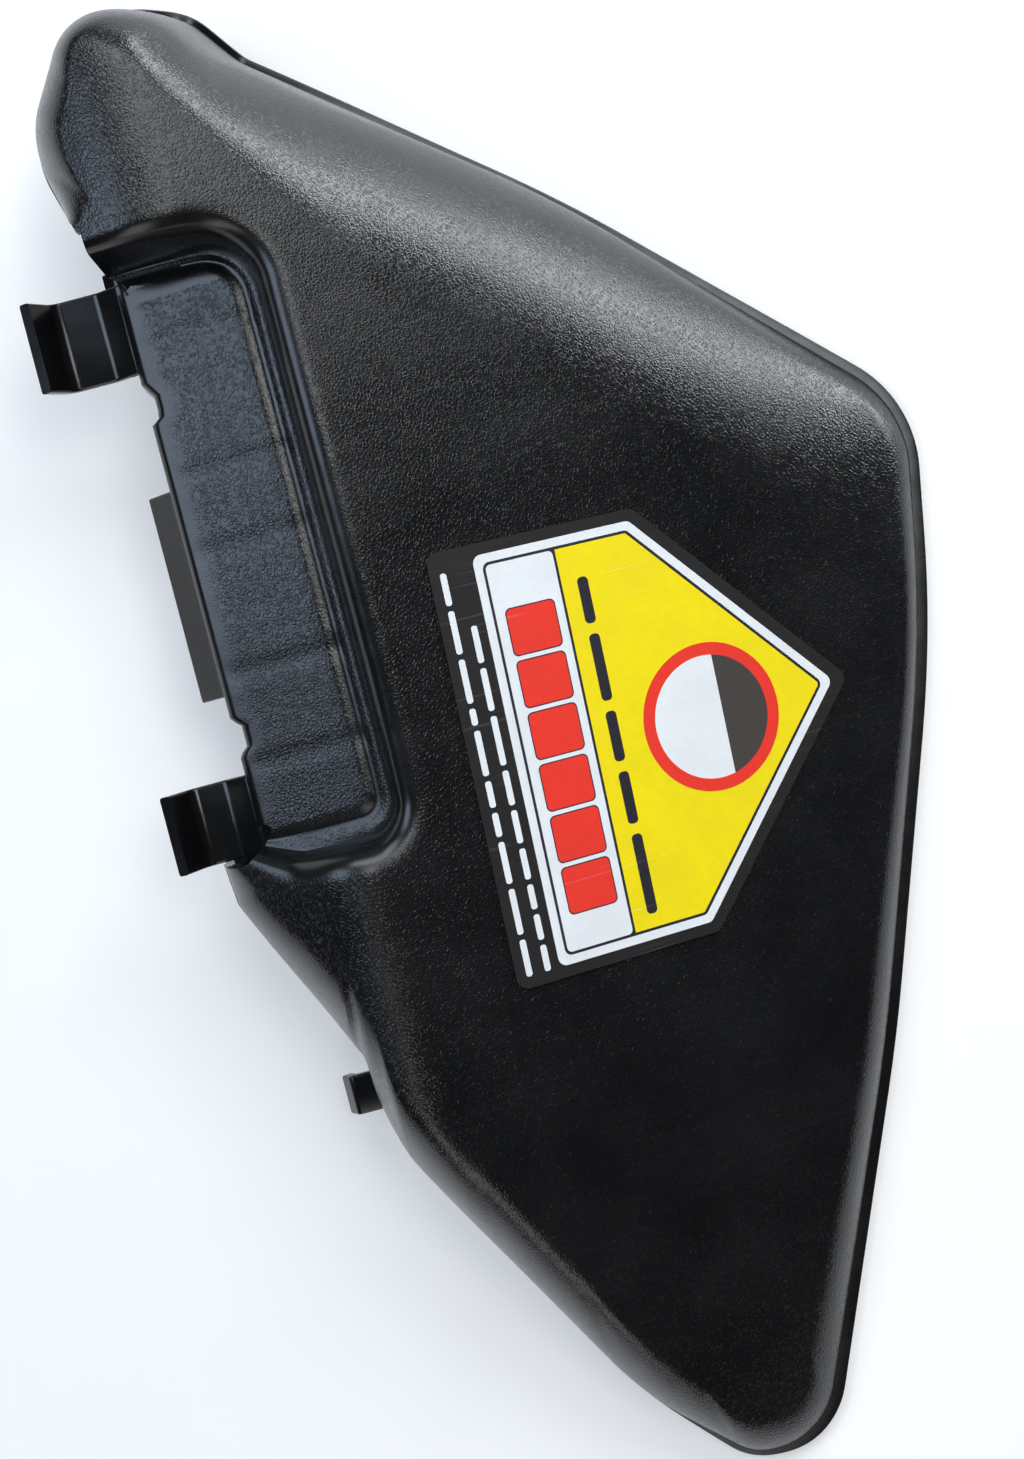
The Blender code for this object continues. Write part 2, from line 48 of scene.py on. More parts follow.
RIM_HEIGHT = 0.0045
WALL_SHARE_JOINED = 0.85

# Main face and the slopes beside it
CREST_X = -0.035
CREST_Y = -0.029
CREST_HEIGHT = 0.062
FALL_TO_OUTLET = 0.362
FALL_TO_TAIL = 0.095
FLAT_FROM_Y = -0.095
FLAT_TO_Y = 0.030
LOBE_EASE = 0.9
TAIL_EASE = 0.8
LOBE_CREASE_X = -0.057
LOBE_FALL = 0.32
FACET_CREASE_X = -0.050
FACET_FALL = 0.55
CREASE_SOFTNESS = 0.007

# Round shoulder along the front edge
FRONT_SHOULDER = 0.042
LOBE_SHOULDER = 0.020
LOBE_SHOULDER_X = -0.065
FRONT_SHOULDER_X = -0.005
MOST_SPAN_ROUNDED = 0.75
LEAST_SQUARENESS = 0.45

# Recess for the raised door
PANEL_HEIGHT = 0.054
PANEL_FALL = 0.21
PANEL_EDGE_X = -0.0415
HINGE_X = -0.0675
GROOVE_WIDTH = 0.0017
GROOVE_DEPTH = 0.0009
WALL_DRAFT = 0.0022
MOST_WIDTH_DRAFTED = 0.35
MOST_HEIGHT_ROUNDED = 0.70
LIP_DROP = 0.0120
LIP_FLARE = 0.0008
LIP_RADIUS = 0.0028
NOTCH_DEPTH = 0.0023
NOTCH_HALF = 0.0043
NOTCH_EASE = 0.0015
NOTCHES_Y = (0.0760, -0.0058)

# Wall foot: x, y, corner radius, place on the recess ridge, soft width, edge rounding,
# flange width, foot height
LOBE_TOP = (-0.0635, 0.1784, 0.022, 0.58, 0.013, 0.012, 0.0012, 0.025)
LOBE_FRONT = (-0.0395, 0.1722, 0.018, 0.74, 0.014, 0.012, 0.0018, 0.015)
FRONT_START = (-0.0285, 0.1595, 0.020, 0.86, 0.018, 0.008, 0.0018, 0.006)
FRONT_BOW = (0.0400, 0.1062, 0.300, 1.40, 0.042, 0.0015, 0.0015, 0.000)
OUTLET_START = (0.1137, 0.0325, 0.030, 2.23, 0.030, 0.006, 0.0026, 0.000)
REAR_WALL = (-0.0615, -0.1135, 0.040, 4.50, 0.018, 0.016, 0.0006, 0.000)
OUTLINE = (
    (-0.0755, 0.1215, 0.000, 0.00, 0.006, 0.006, 0.0006, 0.042),
    (-0.0818, 0.1430, 0.026, 0.30, 0.012, 0.012, 0.0006, 0.038),
    LOBE_TOP,
    LOBE_FRONT,
    FRONT_START,
    FRONT_BOW,
    OUTLET_START,
    (0.1022, -0.0255, 0.350, 2.50, 0.007, 0.005, 0.0030, 0.000),
    (0.0674, -0.1225, 0.500, 2.80, 0.010, 0.008, 0.0030, 0.000),
    (0.0262, -0.2183, 0.019, 3.10, 0.012, 0.010, 0.0030, 0.000),
    (0.0070, -0.2184, 0.014, 3.85, 0.016, 0.014, 0.0022, 0.000),
    (-0.0165, -0.1960, 0.080, 4.15, 0.022, 0.020, 0.0010, 0.000),
    REAR_WALL,
    (-0.0615, -0.0940, 0.020, 4.62, 0.014, 0.012, 0.0006, 0.006),
    (-0.0812, -0.0455, 0.004, 5.40, 0.009, 0.008, 0.0006, 0.028),
    (-0.0818, -0.0352, 0.000, 6.00, 0.007, 0.007, 0.0006, 0.030),
)
RIDGE = (
    (-0.0715, 0.1150, 0.000),
    (-0.0275, 0.1165, 0.019),
    (-0.0275, 0.0880, 0.000),
    (-0.0275, -0.0180, 0.000),
    (-0.0275, -0.0470, 0.017),
    (-0.0660, -0.0445, 0.008),
    (-0.0750, -0.0360, 0.000),
)
LEDGE = (
    (-0.0714, 0.1086, 0.000),
    (-0.0365, 0.1080, 0.013),
    (-0.0365, 0.0880, 0.000),
    (-0.0365, -0.0180, 0.000),
    (-0.0365, -0.0365, 0.008),
    (-0.0610, -0.0360, 0.006),
    (-0.0697, -0.0325, 0.000),
)
PANEL = (
    (-0.0680, 0.1060, 0.000),
    (-0.0415, 0.1040, 0.009),
    (-0.0415, 0.0880, 0.000),
    (-0.0415, -0.0180, 0.000),
    (-0.0415, -0.0300, 0.0040),
    (-0.0580, -0.0303, 0.010),
    (-0.0680, -0.0302, 0.000),
)
HINGE_LINE_Y = (0.1040, 0.0970, 0.0850, -0.0180, -0.0225, -0.0250, -0.0275)

# Hooks: y from, y to, end of the floor. Their roots: y from, y to, reach
HOOKS = ((0.0850, 0.1070, 0.0172), (-0.0343, -0.0150, 0.0150))
HOOK_THICKNESS = 0.0026
HOOK_ROOT_DROP = 0.0038
HOOK_FLOOR_DROP = 0.0070
HOOK_FLOOR_START = 0.0085
HOOK_BEND = 0.0030
HOOK_LIP_HEIGHT = 0.0098
HOOK_LIP_ANGLE = math.radians(68)
HOOK_ROOTS = ((0.0850, 0.1104, 0.0057), (-0.0378, -0.0150, 0.0112))
HOOK_ROOT_LENGTH = 0.0060
HOOK_ROOT_INSET = 0.0002
STRIP_ROUND = 0.0006

# Tab, ribs and ear
TAB_Y = (0.0044, 0.0560)
TAB_THICKNESS = 0.0024
TAB_TOP_DROP = 0.0050
TAB_REACH = 0.0095
TAB_FALL = 0.0075
RIBS_Y = (0.0904, 0.0580, 0.0390, 0.0090, -0.0130)
RIB_THICKNESS = 0.0018
RIB_DEPTH = 0.0100
EAR_Y = -0.1012
EAR_HALF_WIDTH = 0.0050
EAR_REACH = 0.0088
EAR_HEIGHT = 0.0170
EAR_THICKNESS = 0.0030
EAR_HOOK_DROP = 0.0045
EAR_HOOK_LENGTH = 0.0022

# Film on the main face
FILM_X = -0.0174
FILM_Y = -0.0283
FILM_TURN = math.radians(-2.7)
FILM_WIDTH = 0.1060
FILM_SIDE = 0.0540
FILM_POINT = 0.0484
FILM_CORNER = 0.0030
FILM_THICKNESS = 0.0003
SEAT_GAP = 0.0003

# Fine shapes that only show up close
SINK_DEPTH = 0.00022
SINK_WIDTH = 0.0022
ROLL_FROM_Y = 0.1005
ROLL_LENGTH = 0.0038
ROLL_DEPTH = 0.0003
RIM_ROUND = 0.0005
TANGENT_REACH = 0.0006
INK_STEP = 0.000018
GRAIN_CELL = 0.00090
GRAIN_DEPTH = 0.000052
GRAIN_EDGE = 0.0015
FINE_CELL = 0.00025
FINE_DEPTH = 0.000004
RIPPLE_DEPTH = 0.00010
GRID_STEP = 0.0042
PATH_TURN = math.radians(2)
LOOP_TURN = math.radians(7.5)
SHARP_ANGLE = math.radians(35)

# Black plastic: roughness where smooth and where grained, darkest and lightest tone
HOOD_ROUGHNESS = (0.22, 0.24)
HOOD_TONES = ((0.0045, 0.0047, 0.0052), (0.0065, 0.0067, 0.0073))
HOOK_ROUGHNESS = (0.17, 0.24)
HOOK_TONES = ((0.0045, 0.0047, 0.0051), (0.0062, 0.0064, 0.0070))
SCRATCHED_PLASTIC = (0.05, 0.05, 0.055)
PLASTIC_IOR = 1.5

# Inks: material, colour, rubbed colour, roughness
INKS = {
    "film": ("film_black", (0.019, 0.0175, 0.0175), (0.10, 0.10, 0.10), 0.34),
    "white": ("ink_white", (0.82, 0.84, 0.85), (0.70, 0.70, 0.70), 0.36),
    "yellow": ("ink_yellow", (0.93, 0.745, 0.006), (0.80, 0.70, 0.30), 0.36),
    "red": ("ink_red", (0.86, 0.042, 0.025), (0.75, 0.30, 0.28), 0.36),
    "keyline": ("ink_keyline", (0.022, 0.020, 0.030), (0.15, 0.15, 0.16), 0.36),
    "grey": ("ink_grey", (0.062, 0.054, 0.049), (0.20, 0.20, 0.20), 0.36),
}
INK_BUMP = 0.000010

# Stage
FLOOR_RADIUS = 1.2
FLOOR_FADE_FROM = 0.50
FLOOR_FADE_TO = 0.97
FLOOR_TONES = (0.825, 0.84)
FLOOR_LIFT = 0.27
SKY_WHITE_TO = 0.02
SKY_DARK_FROM = 0.15
SKY_DARK = 0.01

# Soft boxes: name, heading in x and y, elevation in degrees, size in metres, brightness, tint
LIGHT_DISTANCE = 1.5
SOFT_BOXES = (
    ("low_window", (0.79, 0.61), 7, (1.30, 0.42), 12.0, (0.92, 0.96, 1.0)),
    ("lobe_box", (0.33, 0.94), 46, (1.30, 0.56), 5.4, (0.92, 0.96, 1.0)),
    ("top_box", (0.80, 0.60), 72, (0.45, 0.45), 6.5, (0.97, 0.99, 1.0)),
    ("side_box", (-0.90, 0.44), 53, (0.84, 0.72), 4.6, (0.66, 0.80, 1.0)),
    ("tail_box", (-0.25, -0.97), 39, (0.55, 1.50), 2.0, (1.0, 0.98, 0.96)),
)

# Camera: straight above the hinge frame's origin
CAMERA_HEIGHT = 0.600
PHOTO_HEIGHT = 1459
FOCAL_PIXELS = 2308
LOOK_POINT_ROW = 640
PHOTO_RIGHT = (0.9666, -0.2564, 0)
PHOTO_UP = (0.2564, 0.9666, 0)


def corner_arc(before, corner, after, step, runs=1):
    """Points of the arc at a corner of x, y and radius. Their number of steps is a multiple of runs."""
    here = np.array(corner[:2])
    into = here - np.array(before[:2])
    out = np.array(after[:2]) - here
    into /= np.linalg.norm(into)
    out /= np.linalg.norm(out)
    turn = math.atan2(into[0] * out[1] - into[1] * out[0], into @ out)
    start = here - into * corner[2] * math.tan(abs(turn) / 2)
    centre = start + np.array((-into[1], into[0])) * math.copysign(corner[2], turn)
    x, y = start - centre
    count = runs * max(1, math.ceil(abs(turn) / step))
    angles = [turn * index / count for index in range(count + 1)]
    return [centre + np.array((math.cos(angle) * x - math.sin(angle) * y,
                               math.sin(angle) * x + math.cos(angle) * y)) for angle in angles]


class Path:
    """An open path of straight runs and corner arcs. Place k is the middle of corner k's arc."""

    def __init__(self, corners):
        points = [np.array(corners[0][:2])]
        marks = [0]
        for before, corner, after in zip(corners, corners[1:], corners[2:]):
            arc = corner_arc(before, corner, after, PATH_TURN, runs=2)
            points += arc
            marks.append(len(points) - 1 - len(arc) // 2)
        points.append(np.array(corners[-1][:2]))
        marks.append(len(points) - 1)
        self.points = np.array(points)
        steps = np.linalg.norm(np.diff(self.points, axis=0), axis=1)
        self.along = np.concatenate(((0.0,), np.cumsum(steps)))
        self.marks = self.along[marks]

    def at_length(self, length):
        x = np.interp(length, self.along, self.points[:, 0])
        y = np.interp(length, self.along, self.points[:, 1])
        return np.stack((x, y), axis=-1)

    def at(self, place):
        return self.at_length(np.interp(place, np.arange(len(self.marks)), self.marks))


def smooth_step(value):
    value = np.clip(value, 0, 1)
    return value * value * (3 - 2 * value)


def smooth_min(first, second, softness):
    blend = np.maximum(softness - np.abs(first - second), 0) / softness
    return np.minimum(first, second) - blend * blend * softness / 4


def quarter_round(value):
    value = 1 - np.clip(value, 0, 1)
    return np.sqrt(1 - value * value)


def distance_inside(spots, path):
    """Distance from each spot to an open path, positive on its right-hand side."""
    start, end = path.points[:-1], path.points[1:]
    run = end - start
    length = np.linalg.norm(run, axis=1)
    offset = spots[..., None, :] - start
    share = np.clip((offset * run).sum(-1) / length ** 2, 0, 1)
    gap = np.linalg.norm(offset - share[..., None] * run, axis=-1)
    nearest = gap.argmin(axis=-1)[..., None]
    side = run[..., 0] * offset[..., 1] - run[..., 1] * offset[..., 0]
    gap = np.take_along_axis(gap, nearest, -1)[..., 0]
    side = np.take_along_axis(side, nearest, -1)[..., 0]
    return np.where(side < 0, gap, -gap)


def front_edge():
    """The front edge of the outline, run on past the lobe and past the outlet corner."""
    first, second = np.array(LOBE_TOP[:2]), np.array(LOBE_FRONT[:2])
    bow, last = np.array(FRONT_BOW[:2]), np.array(OUTLET_START[:2])
    corners = [row[:3] for row in (LOBE_FRONT, FRONT_START, FRONT_BOW)]
    return Path([(*(2 * first - second), 0), *corners, (*(2 * last - bow), 0)])


FRONT_EDGE = front_edge()


def main_face(x, y):
    height = CREST_HEIGHT - FALL_TO_OUTLET * (x - CREST_X) + FALL_TO_TAIL * (y - CREST_Y)
    height = height - LOBE_EASE * np.maximum(y - FLAT_TO_Y, 0) ** 2
    return height - TAIL_EASE * np.maximum(FLAT_FROM_Y - y, 0) ** 2


def roof(spots, base):
    """Height of the outer face, rounded down to a base height along the front edge."""
    x, y = spots[..., 0], spots[..., 1]
    lobe_side = y > (FLAT_TO_Y + CREST_Y) / 2
    crease_x = np.where(lobe_side, LOBE_CREASE_X, FACET_CREASE_X)
    fall = np.where(lobe_side, LOBE_FALL, FACET_FALL)
    strip = main_face(crease_x, y) + fall * (x - crease_x)
    height = smooth_min(main_face(x, y), strip, CREASE_SOFTNESS)
    inside = distance_inside(spots, FRONT_EDGE)
    share = smooth_step((x - LOBE_SHOULDER_X) / (FRONT_SHOULDER_X - LOBE_SHOULDER_X))
    width = LOBE_SHOULDER + (FRONT_SHOULDER - LOBE_SHOULDER) * share
    return base + (height - base) * quarter_round(inside / width)


def panel_height(x):
    return PANEL_HEIGHT + PANEL_FALL * (x - PANEL_EDGE_X)


def panel_skin(spots):
    """The panel's height with faint sink marks over its ribs and its end towards the lobe rolled down."""
    sink = sum(np.exp(-((spots[:, 1] - y) / SINK_WIDTH) ** 2) for y in RIBS_Y)
    roll = np.clip((spots[:, 1] - ROLL_FROM_Y) / ROLL_LENGTH, 0, 1)
    return panel_height(spots[:, 0]) - SINK_DEPTH * sink - ROLL_DEPTH * roll * roll


def hinge_line(place):
    y = np.interp(place, np.arange(len(HINGE_LINE_Y)), HINGE_LINE_Y)
    x = np.full_like(y, HINGE_X)
    for middle in NOTCHES_Y:
        x += NOTCH_DEPTH * np.clip((NOTCH_HALF - np.abs(y - middle)) / NOTCH_EASE, 0, 1)
    return np.stack((x, y), axis=-1)


def station_lengths(outline, step, turn):
    """Stations along the outline, closer together where it bends."""
    samples, window = 4000, 25
    lengths = np.linspace(0, outline.along[-1], samples)
    heading = np.diff(outline.at_length(lengths), axis=0)
    angle = np.unwrap(np.arctan2(heading[:, 1], heading[:, 0]))
    bend = np.convolve(np.abs(np.gradient(angle)), np.full(window, 1 / window), mode="same")
    weight = np.diff(lengths) / step + bend / turn
    total = np.concatenate(((0.0,), np.cumsum(weight)))
    return np.interp(np.linspace(0, total[-1], math.ceil(total[-1]) + 1), total, lengths)


def blend_column(place, column):
    values = np.array([row[column] for row in OUTLINE])
    base = np.clip(np.floor(place).astype(int), 0, len(values) - 2)
    share = smooth_step(place - base)
    return values[base] * (1 - share) + values[base + 1] * share


def with_height(spots, height):
    return np.concatenate((spots, np.broadcast_to(height, spots.shape[:-1])[..., None]), axis=-1)


def skin_rows(step, turn):
    """Rows of points and their grain, from the hinge lip over the hood to the foot of the rim."""
    outline = Path([row[:3] for row in OUTLINE])
    lengths = station_lengths(outline, step, turn)
    place = np.interp(lengths, outline.marks, np.arange(len(outline.marks)))
    foot = outline.at_length(lengths)
    ahead = outline.at_length(np.minimum(lengths + TANGENT_REACH, outline.along[-1]))
    behind = outline.at_length(np.maximum(lengths - TANGENT_REACH, 0))
    tangent = (ahead - behind) / np.linalg.norm(ahead - behind, axis=1)[:, None]
    outward = np.stack((-tangent[:, 1], tangent[:, 0]), axis=-1)
    ridge_place = np.interp(place, np.arange(len(OUTLINE)), [row[3] for row in OUTLINE])
    soft, edge = blend_column(place, 4), blend_column(place, 5)
    flange, foot_height = blend_column(place, 6), blend_column(place, 7)
    rim_top = foot_height + RIM_HEIGHT
    ridge, ledge, panel = (Path(path).at(ridge_place) for path in (RIDGE, LEDGE, PANEL))
    hinge = hinge_line(ridge_place)
    rows, grain = [], []

    def add(row, share):
        rows.append(row)
        grain.append(np.broadcast_to(share, len(row)))

    # Lip and the round edge between it and the panel
    slope = math.atan(PANEL_FALL)
    left = math.pi / 2 + math.atan2(LIP_DROP, LIP_FLARE)
    centre_height = panel_height(hinge[:, 0]) - LIP_RADIUS / math.cos(slope)
    low = hinge[:, 0] + LIP_RADIUS * math.cos(left) - LIP_FLARE
    low_height = centre_height + LIP_RADIUS * math.sin(left) - LIP_DROP
    lip_count = 6
    for index in range(lip_count):
        part = index / lip_count
        add(np.stack((low + LIP_FLARE * part, hinge[:, 1], low_height + LIP_DROP * part), axis=-1), 0)
    edge_count = 10
    for index in range(edge_count + 1):
        angle = left + (math.pi / 2 + slope - left) * index / edge_count
        x = hinge[:, 0] + LIP_RADIUS * math.cos(angle)
        add(np.stack((x, hinge[:, 1], centre_height + LIP_RADIUS * math.sin(angle)), axis=-1), 0)
    start = rows[-1][:, :2]

    # Panel, its round edge and the groove round it
    out = ledge - panel
    out /= np.linalg.norm(out, axis=1)[:, None]
    inner = panel - out * GROOVE_WIDTH
    panel_count = 10
    for index in range(1, panel_count + 1):
        spots = start + (inner - start) * index / panel_count
        flat = spots[:, 1] < ROLL_FROM_Y
        add(with_height(spots, panel_skin(spots)), min(1, 0.5 * index) * flat)
    groove_count = 6
    for index in range(1, groove_count + 1):
        part = index / groove_count
        spots = panel + out * GROOVE_WIDTH * (2 * part - 1)
        add(with_height(spots, panel_skin(spots) - GROOVE_DEPTH * smooth_step(part)), 1 - part)
    groove, groove_height = rows[-1][:, :2], rows[-1][:, 2]
    ledge_height = panel_height(ledge[:, 0]) - GROOVE_DEPTH / 2
    ledge_count = 4
    for index in range(1, ledge_count + 1):
        part = index / ledge_count
        spots = groove + (ledge - groove) * part
        height = groove_height + (ledge_height - groove_height) * smooth_step(part * 1.5)
        add(with_height(spots, height), 0.7 * (index < ledge_count))

    # Wall of the recess and the round ridge above it
    across = ridge - ledge
    width = np.linalg.norm(across, axis=1)
    draft = np.minimum(WALL_DRAFT, width * MOST_WIDTH_DRAFTED)
    corner = ledge + across * (draft / width)[:, None]
    corner_height = roof(corner, rim_top)
    drop = np.minimum(width - draft, (corner_height - ledge_height) * MOST_HEIGHT_ROUNDED)
    share = (drop / (corner_height - ledge_height))[:, None]
    turn_point = with_height(corner, corner_height)
    low_point = turn_point + (with_height(ledge, ledge_height) - turn_point) * share
    high_point = with_height(ridge, roof(ridge, rim_top))
    ridge_count = 16
    for index in range(ridge_count + 1):
        t = index / ridge_count
        row = low_point * (1 - t) ** 2 + turn_point * 2 * t * (1 - t) + high_point * t ** 2
        add(row, float(smooth_step((t - 0.55) / 0.45)))

    # Roof, then the shoulder down to the wall foot
    inward = ridge - foot
    span = np.linalg.norm(inward, axis=1)
    inward /= span[:, None]
    square = np.maximum(-(inward * outward).sum(axis=1), LEAST_SQUARENESS)
    soft = np.minimum(soft / square, span * MOST_SPAN_ROUNDED)
    edge = np.minimum(edge / square, span * MOST_SPAN_ROUNDED)
    roof_count = 22
    for index in range(1, roof_count):
        spots = ridge + (foot + inward * soft[:, None] - ridge) * index / roof_count
        add(with_height(spots, roof(spots, rim_top)), 1)
    shoulder_count = 30
    for index in range(shoulder_count, 0, -1):
        reach = soft * (1 - math.cos(math.pi / 2 * index / shoulder_count))
        spots = foot + inward * reach[:, None]
        height = rim_top + (roof(spots, rim_top) - rim_top) * quarter_round(reach / edge)
        add(with_height(spots, height), smooth_step(reach / GRAIN_EDGE))

    # Stepped rim with rounded edges
    add(with_height(foot, rim_top), 0)
    brink = foot + outward * flange[:, None]
    round_off = np.minimum(RIM_ROUND, flange / 2)
    rim_steps = 4
    for index in range(rim_steps + 1):
        angle = math.pi / 2 * index / rim_steps
        spots = brink - outward * (round_off * (1 - math.sin(angle)))[:, None]
        add(with_height(spots, rim_top - round_off * (1 - math.cos(angle))), 0)
    for index in range(rim_steps + 1):
        angle = math.pi / 2 * index / rim_steps
        spots = brink - outward * (round_off * (1 - math.cos(angle)))[:, None]
        add(with_height(spots, foot_height + round_off * (1 - math.sin(angle))), 0)
    return rows, grain


def edge_height():
    return panel_height(HINGE_X)


def lip_x(drop):
    """x of the middle of the lip's wall at a drop below the panel's edge."""
    share = drop / (LIP_DROP + LIP_RADIUS)
    return HINGE_X - LIP_RADIUS + WALL / 2 - LIP_FLARE * share


# Profiles of the strips, along their upper side: x, z, bend radius
def hook_profile(floor_end):
    root = edge_height() - HOOK_ROOT_DROP
    floor = edge_height() - HOOK_FLOOR_DROP
    bend_x = HINGE_X - floor_end - HOOK_BEND * math.tan(HOOK_LIP_ANGLE / 2)
    lip_reach = HOOK_LIP_HEIGHT / math.tan(HOOK_LIP_ANGLE)
    return [
        (lip_x(HOOK_ROOT_DROP), root, 0),
        (HINGE_X - HOOK_FLOOR_START / 3, root, HOOK_BEND),
        (HINGE_X - HOOK_FLOOR_START, floor, HOOK_BEND),
        (bend_x, floor, HOOK_BEND),
        (bend_x - lip_reach, floor + HOOK_LIP_HEIGHT, 0),
    ]


def hook_root_profile(reach):
    """A hook's wider root, from under the panel's skin out along the shank."""
    root = edge_height() - HOOK_ROOT_DROP - HOOK_ROOT_INSET
    shank_drop = HOOK_FLOOR_DROP - HOOK_ROOT_DROP
    shank_start = HOOK_FLOOR_START / 3
    share = min(1, (reach - shank_start) / (HOOK_FLOOR_START - shank_start))
    shank_end = min(reach, HOOK_FLOOR_START)
    profile = [
        (HINGE_X + HOOK_ROOT_LENGTH, root, 0),
        (HINGE_X - shank_start, root, HOOK_BEND),
        (HINGE_X - shank_end, root - shank_drop * share, 0),
    ]
    if reach > HOOK_FLOOR_START:
        profile[-1] = (HINGE_X - shank_end, root - shank_drop, HOOK_BEND)
        profile.append((HINGE_X - reach, root - shank_drop, 0))
    return profile


def tab_profile():
    top = edge_height() - TAB_TOP_DROP
    return [
        (lip_x(TAB_TOP_DROP), top, 0),
        (HINGE_X - TAB_REACH / 3, top - TAB_FALL / 4, TAB_REACH),
        (HINGE_X - TAB_REACH, top - TAB_FALL, 0),
    ]


def ear_profile():
    wall_x = REAR_WALL[0]
    return [
        (wall_x + WALL * WALL_SHARE_JOINED, EAR_HEIGHT, 0),
        (wall_x - EAR_REACH + EAR_HOOK_LENGTH, EAR_HEIGHT, EAR_THICKNESS / 2),
        (wall_x - EAR_REACH, EAR_HEIGHT - EAR_HOOK_DROP, 0),
    ]


def rib_outline():
    """A rib's outline in x and z: its top is buried in the panel's skin, its left end in the lip."""
    buried = WALL * WALL_SHARE_JOINED
    right = LEDGE[1][0] - WALL / 2
    bottom = edge_height() - RIB_DEPTH
    return [
        (lip_x(LIP_RADIUS), edge_height() - LIP_RADIUS),
        (lip_x(RIB_DEPTH), bottom),
        (right - RIB_DEPTH / 2, bottom),
        (right, panel_height(right) - RIB_DEPTH / 2),
        (right, panel_height(right) - buried),
        (HINGE_X, panel_height(HINGE_X) - buried),
    ]


def add_piece(name, mesh):
    item = bpy.data.objects.new(name, mesh)
    bpy.context.scene.collection.objects.link(item)
    return item


def make_hood(finish):
    """The hood's skin as a fine quad sheet, thickened downwards, with a grain share at each point."""
    rows, grain = skin_rows(GRID_STEP, math.radians(4))
    count = len(rows[0])
    faces = []
    for row in range(len(rows) - 1):
        for station in range(count - 1):
            first = row * count + station
            faces.append((first, first + 1, first + count + 1, first + count))
    mesh = bpy.data.meshes.new("hood")
    mesh.from_pydata(np.concatenate(rows).tolist(), [], faces)
    share = mesh.attributes.new("grain", "FLOAT", "POINT")
    share.data.foreach_set("value", np.concatenate(grain).astype(np.float32))
    mesh.materials.append(finish)
    mesh.shade_smooth()
    hood = add_piece("hood", mesh)
    skin = hood.modifiers.new("skin", "SOLIDIFY")
    skin.thickness = WALL
    skin.offset = -1
    skin.use_even_offset = True
    return hood


# Node trees
def new_tree(tree_kind, name, inputs, outputs):
    tree = bpy.data.node_groups.new(name, tree_kind)
    for label, kind, value in inputs:
        socket = tree.interface.new_socket(label, in_out="INPUT", socket_type=kind)
        if value is not None:
            socket.default_value = value
    for label, kind in outputs:
        tree.interface.new_socket(label, in_out="OUTPUT", socket_type=kind)
    return tree, tree.nodes.new("NodeGroupInput"), tree.nodes.new("NodeGroupOutput")


def wire(tree, wires):
    """Links nodes: from node, its output, to node, its input."""
    for source, output, target, entry in wires:
        tree.links.new(source.outputs[output], target.inputs[entry])


def feed(tree, value, socket):
    """Links another node's output to a socket, or writes a plain value there."""
    if isinstance(value, bpy.types.NodeSocket):
        tree.links.new(value, socket)
    else:
        socket.default_value = value


def strip_tree():
    """A rounded strip that follows the base path: its width lies along y."""
    tree, given, made = new_tree("GeometryNodeTree", "bent_strip", (
        ("Geometry", "NodeSocketGeometry", None),
        ("Width", "NodeSocketFloat", 0.02),
        ("Thickness", "NodeSocketFloat", HOOK_THICKNESS),
        ("Edge Round", "NodeSocketFloat", STRIP_ROUND),
        ("Finish", "NodeSocketMaterial", None),
    ), (("Geometry", "NodeSocketGeometry"),))
    nodes = tree.nodes
    to_curve = nodes.new("GeometryNodeMeshToCurve")
    upright = nodes.new("GeometryNodeSetCurveNormal")
    upright.mode = "Z_UP"
    section = nodes.new("GeometryNodeCurvePrimitiveQuadrilateral")
    rounded = nodes.new("GeometryNodeFilletCurve")
    rounded.mode = "POLY"
    rounded.inputs["Count"].default_value = 4
    lower = nodes.new("ShaderNodeMath")
    lower.operation = "MULTIPLY"
    lower.inputs[1].default_value = 0.5
    offset = nodes.new("ShaderNodeCombineXYZ")
    place = nodes.new("GeometryNodeTransform")
    sweep = nodes.new("GeometryNodeCurveToMesh")
    sweep.inputs["Fill Caps"].default_value = True
    realize = nodes.new("GeometryNodeRealizeInstances")
    finish = nodes.new("GeometryNodeSetMaterial")
    wire(tree, (
        (given, "Geometry", to_curve, "Mesh"),
        (to_curve, "Curve", upright, "Curve"),
        (given, "Width", section, "Width"),
        (given, "Thickness", section, "Height"),
        (section, "Curve", rounded, "Curve"),
        (given, "Edge Round", rounded, "Radius"),
        (given, "Thickness", lower, 0),
        (lower, 0, offset, "Y"),
        (rounded, "Curve", place, "Geometry"),
        (offset, "Vector", place, "Translation"),
        (upright, "Curve", sweep, "Curve"),
        (place, "Geometry", sweep, "Profile Curve"),
        (sweep, "Mesh", realize, "Geometry"),
        (realize, "Geometry", finish, "Geometry"),
        (given, "Finish", finish, "Material"),
        (finish, "Geometry", made, "Geometry"),
    ))
    return tree


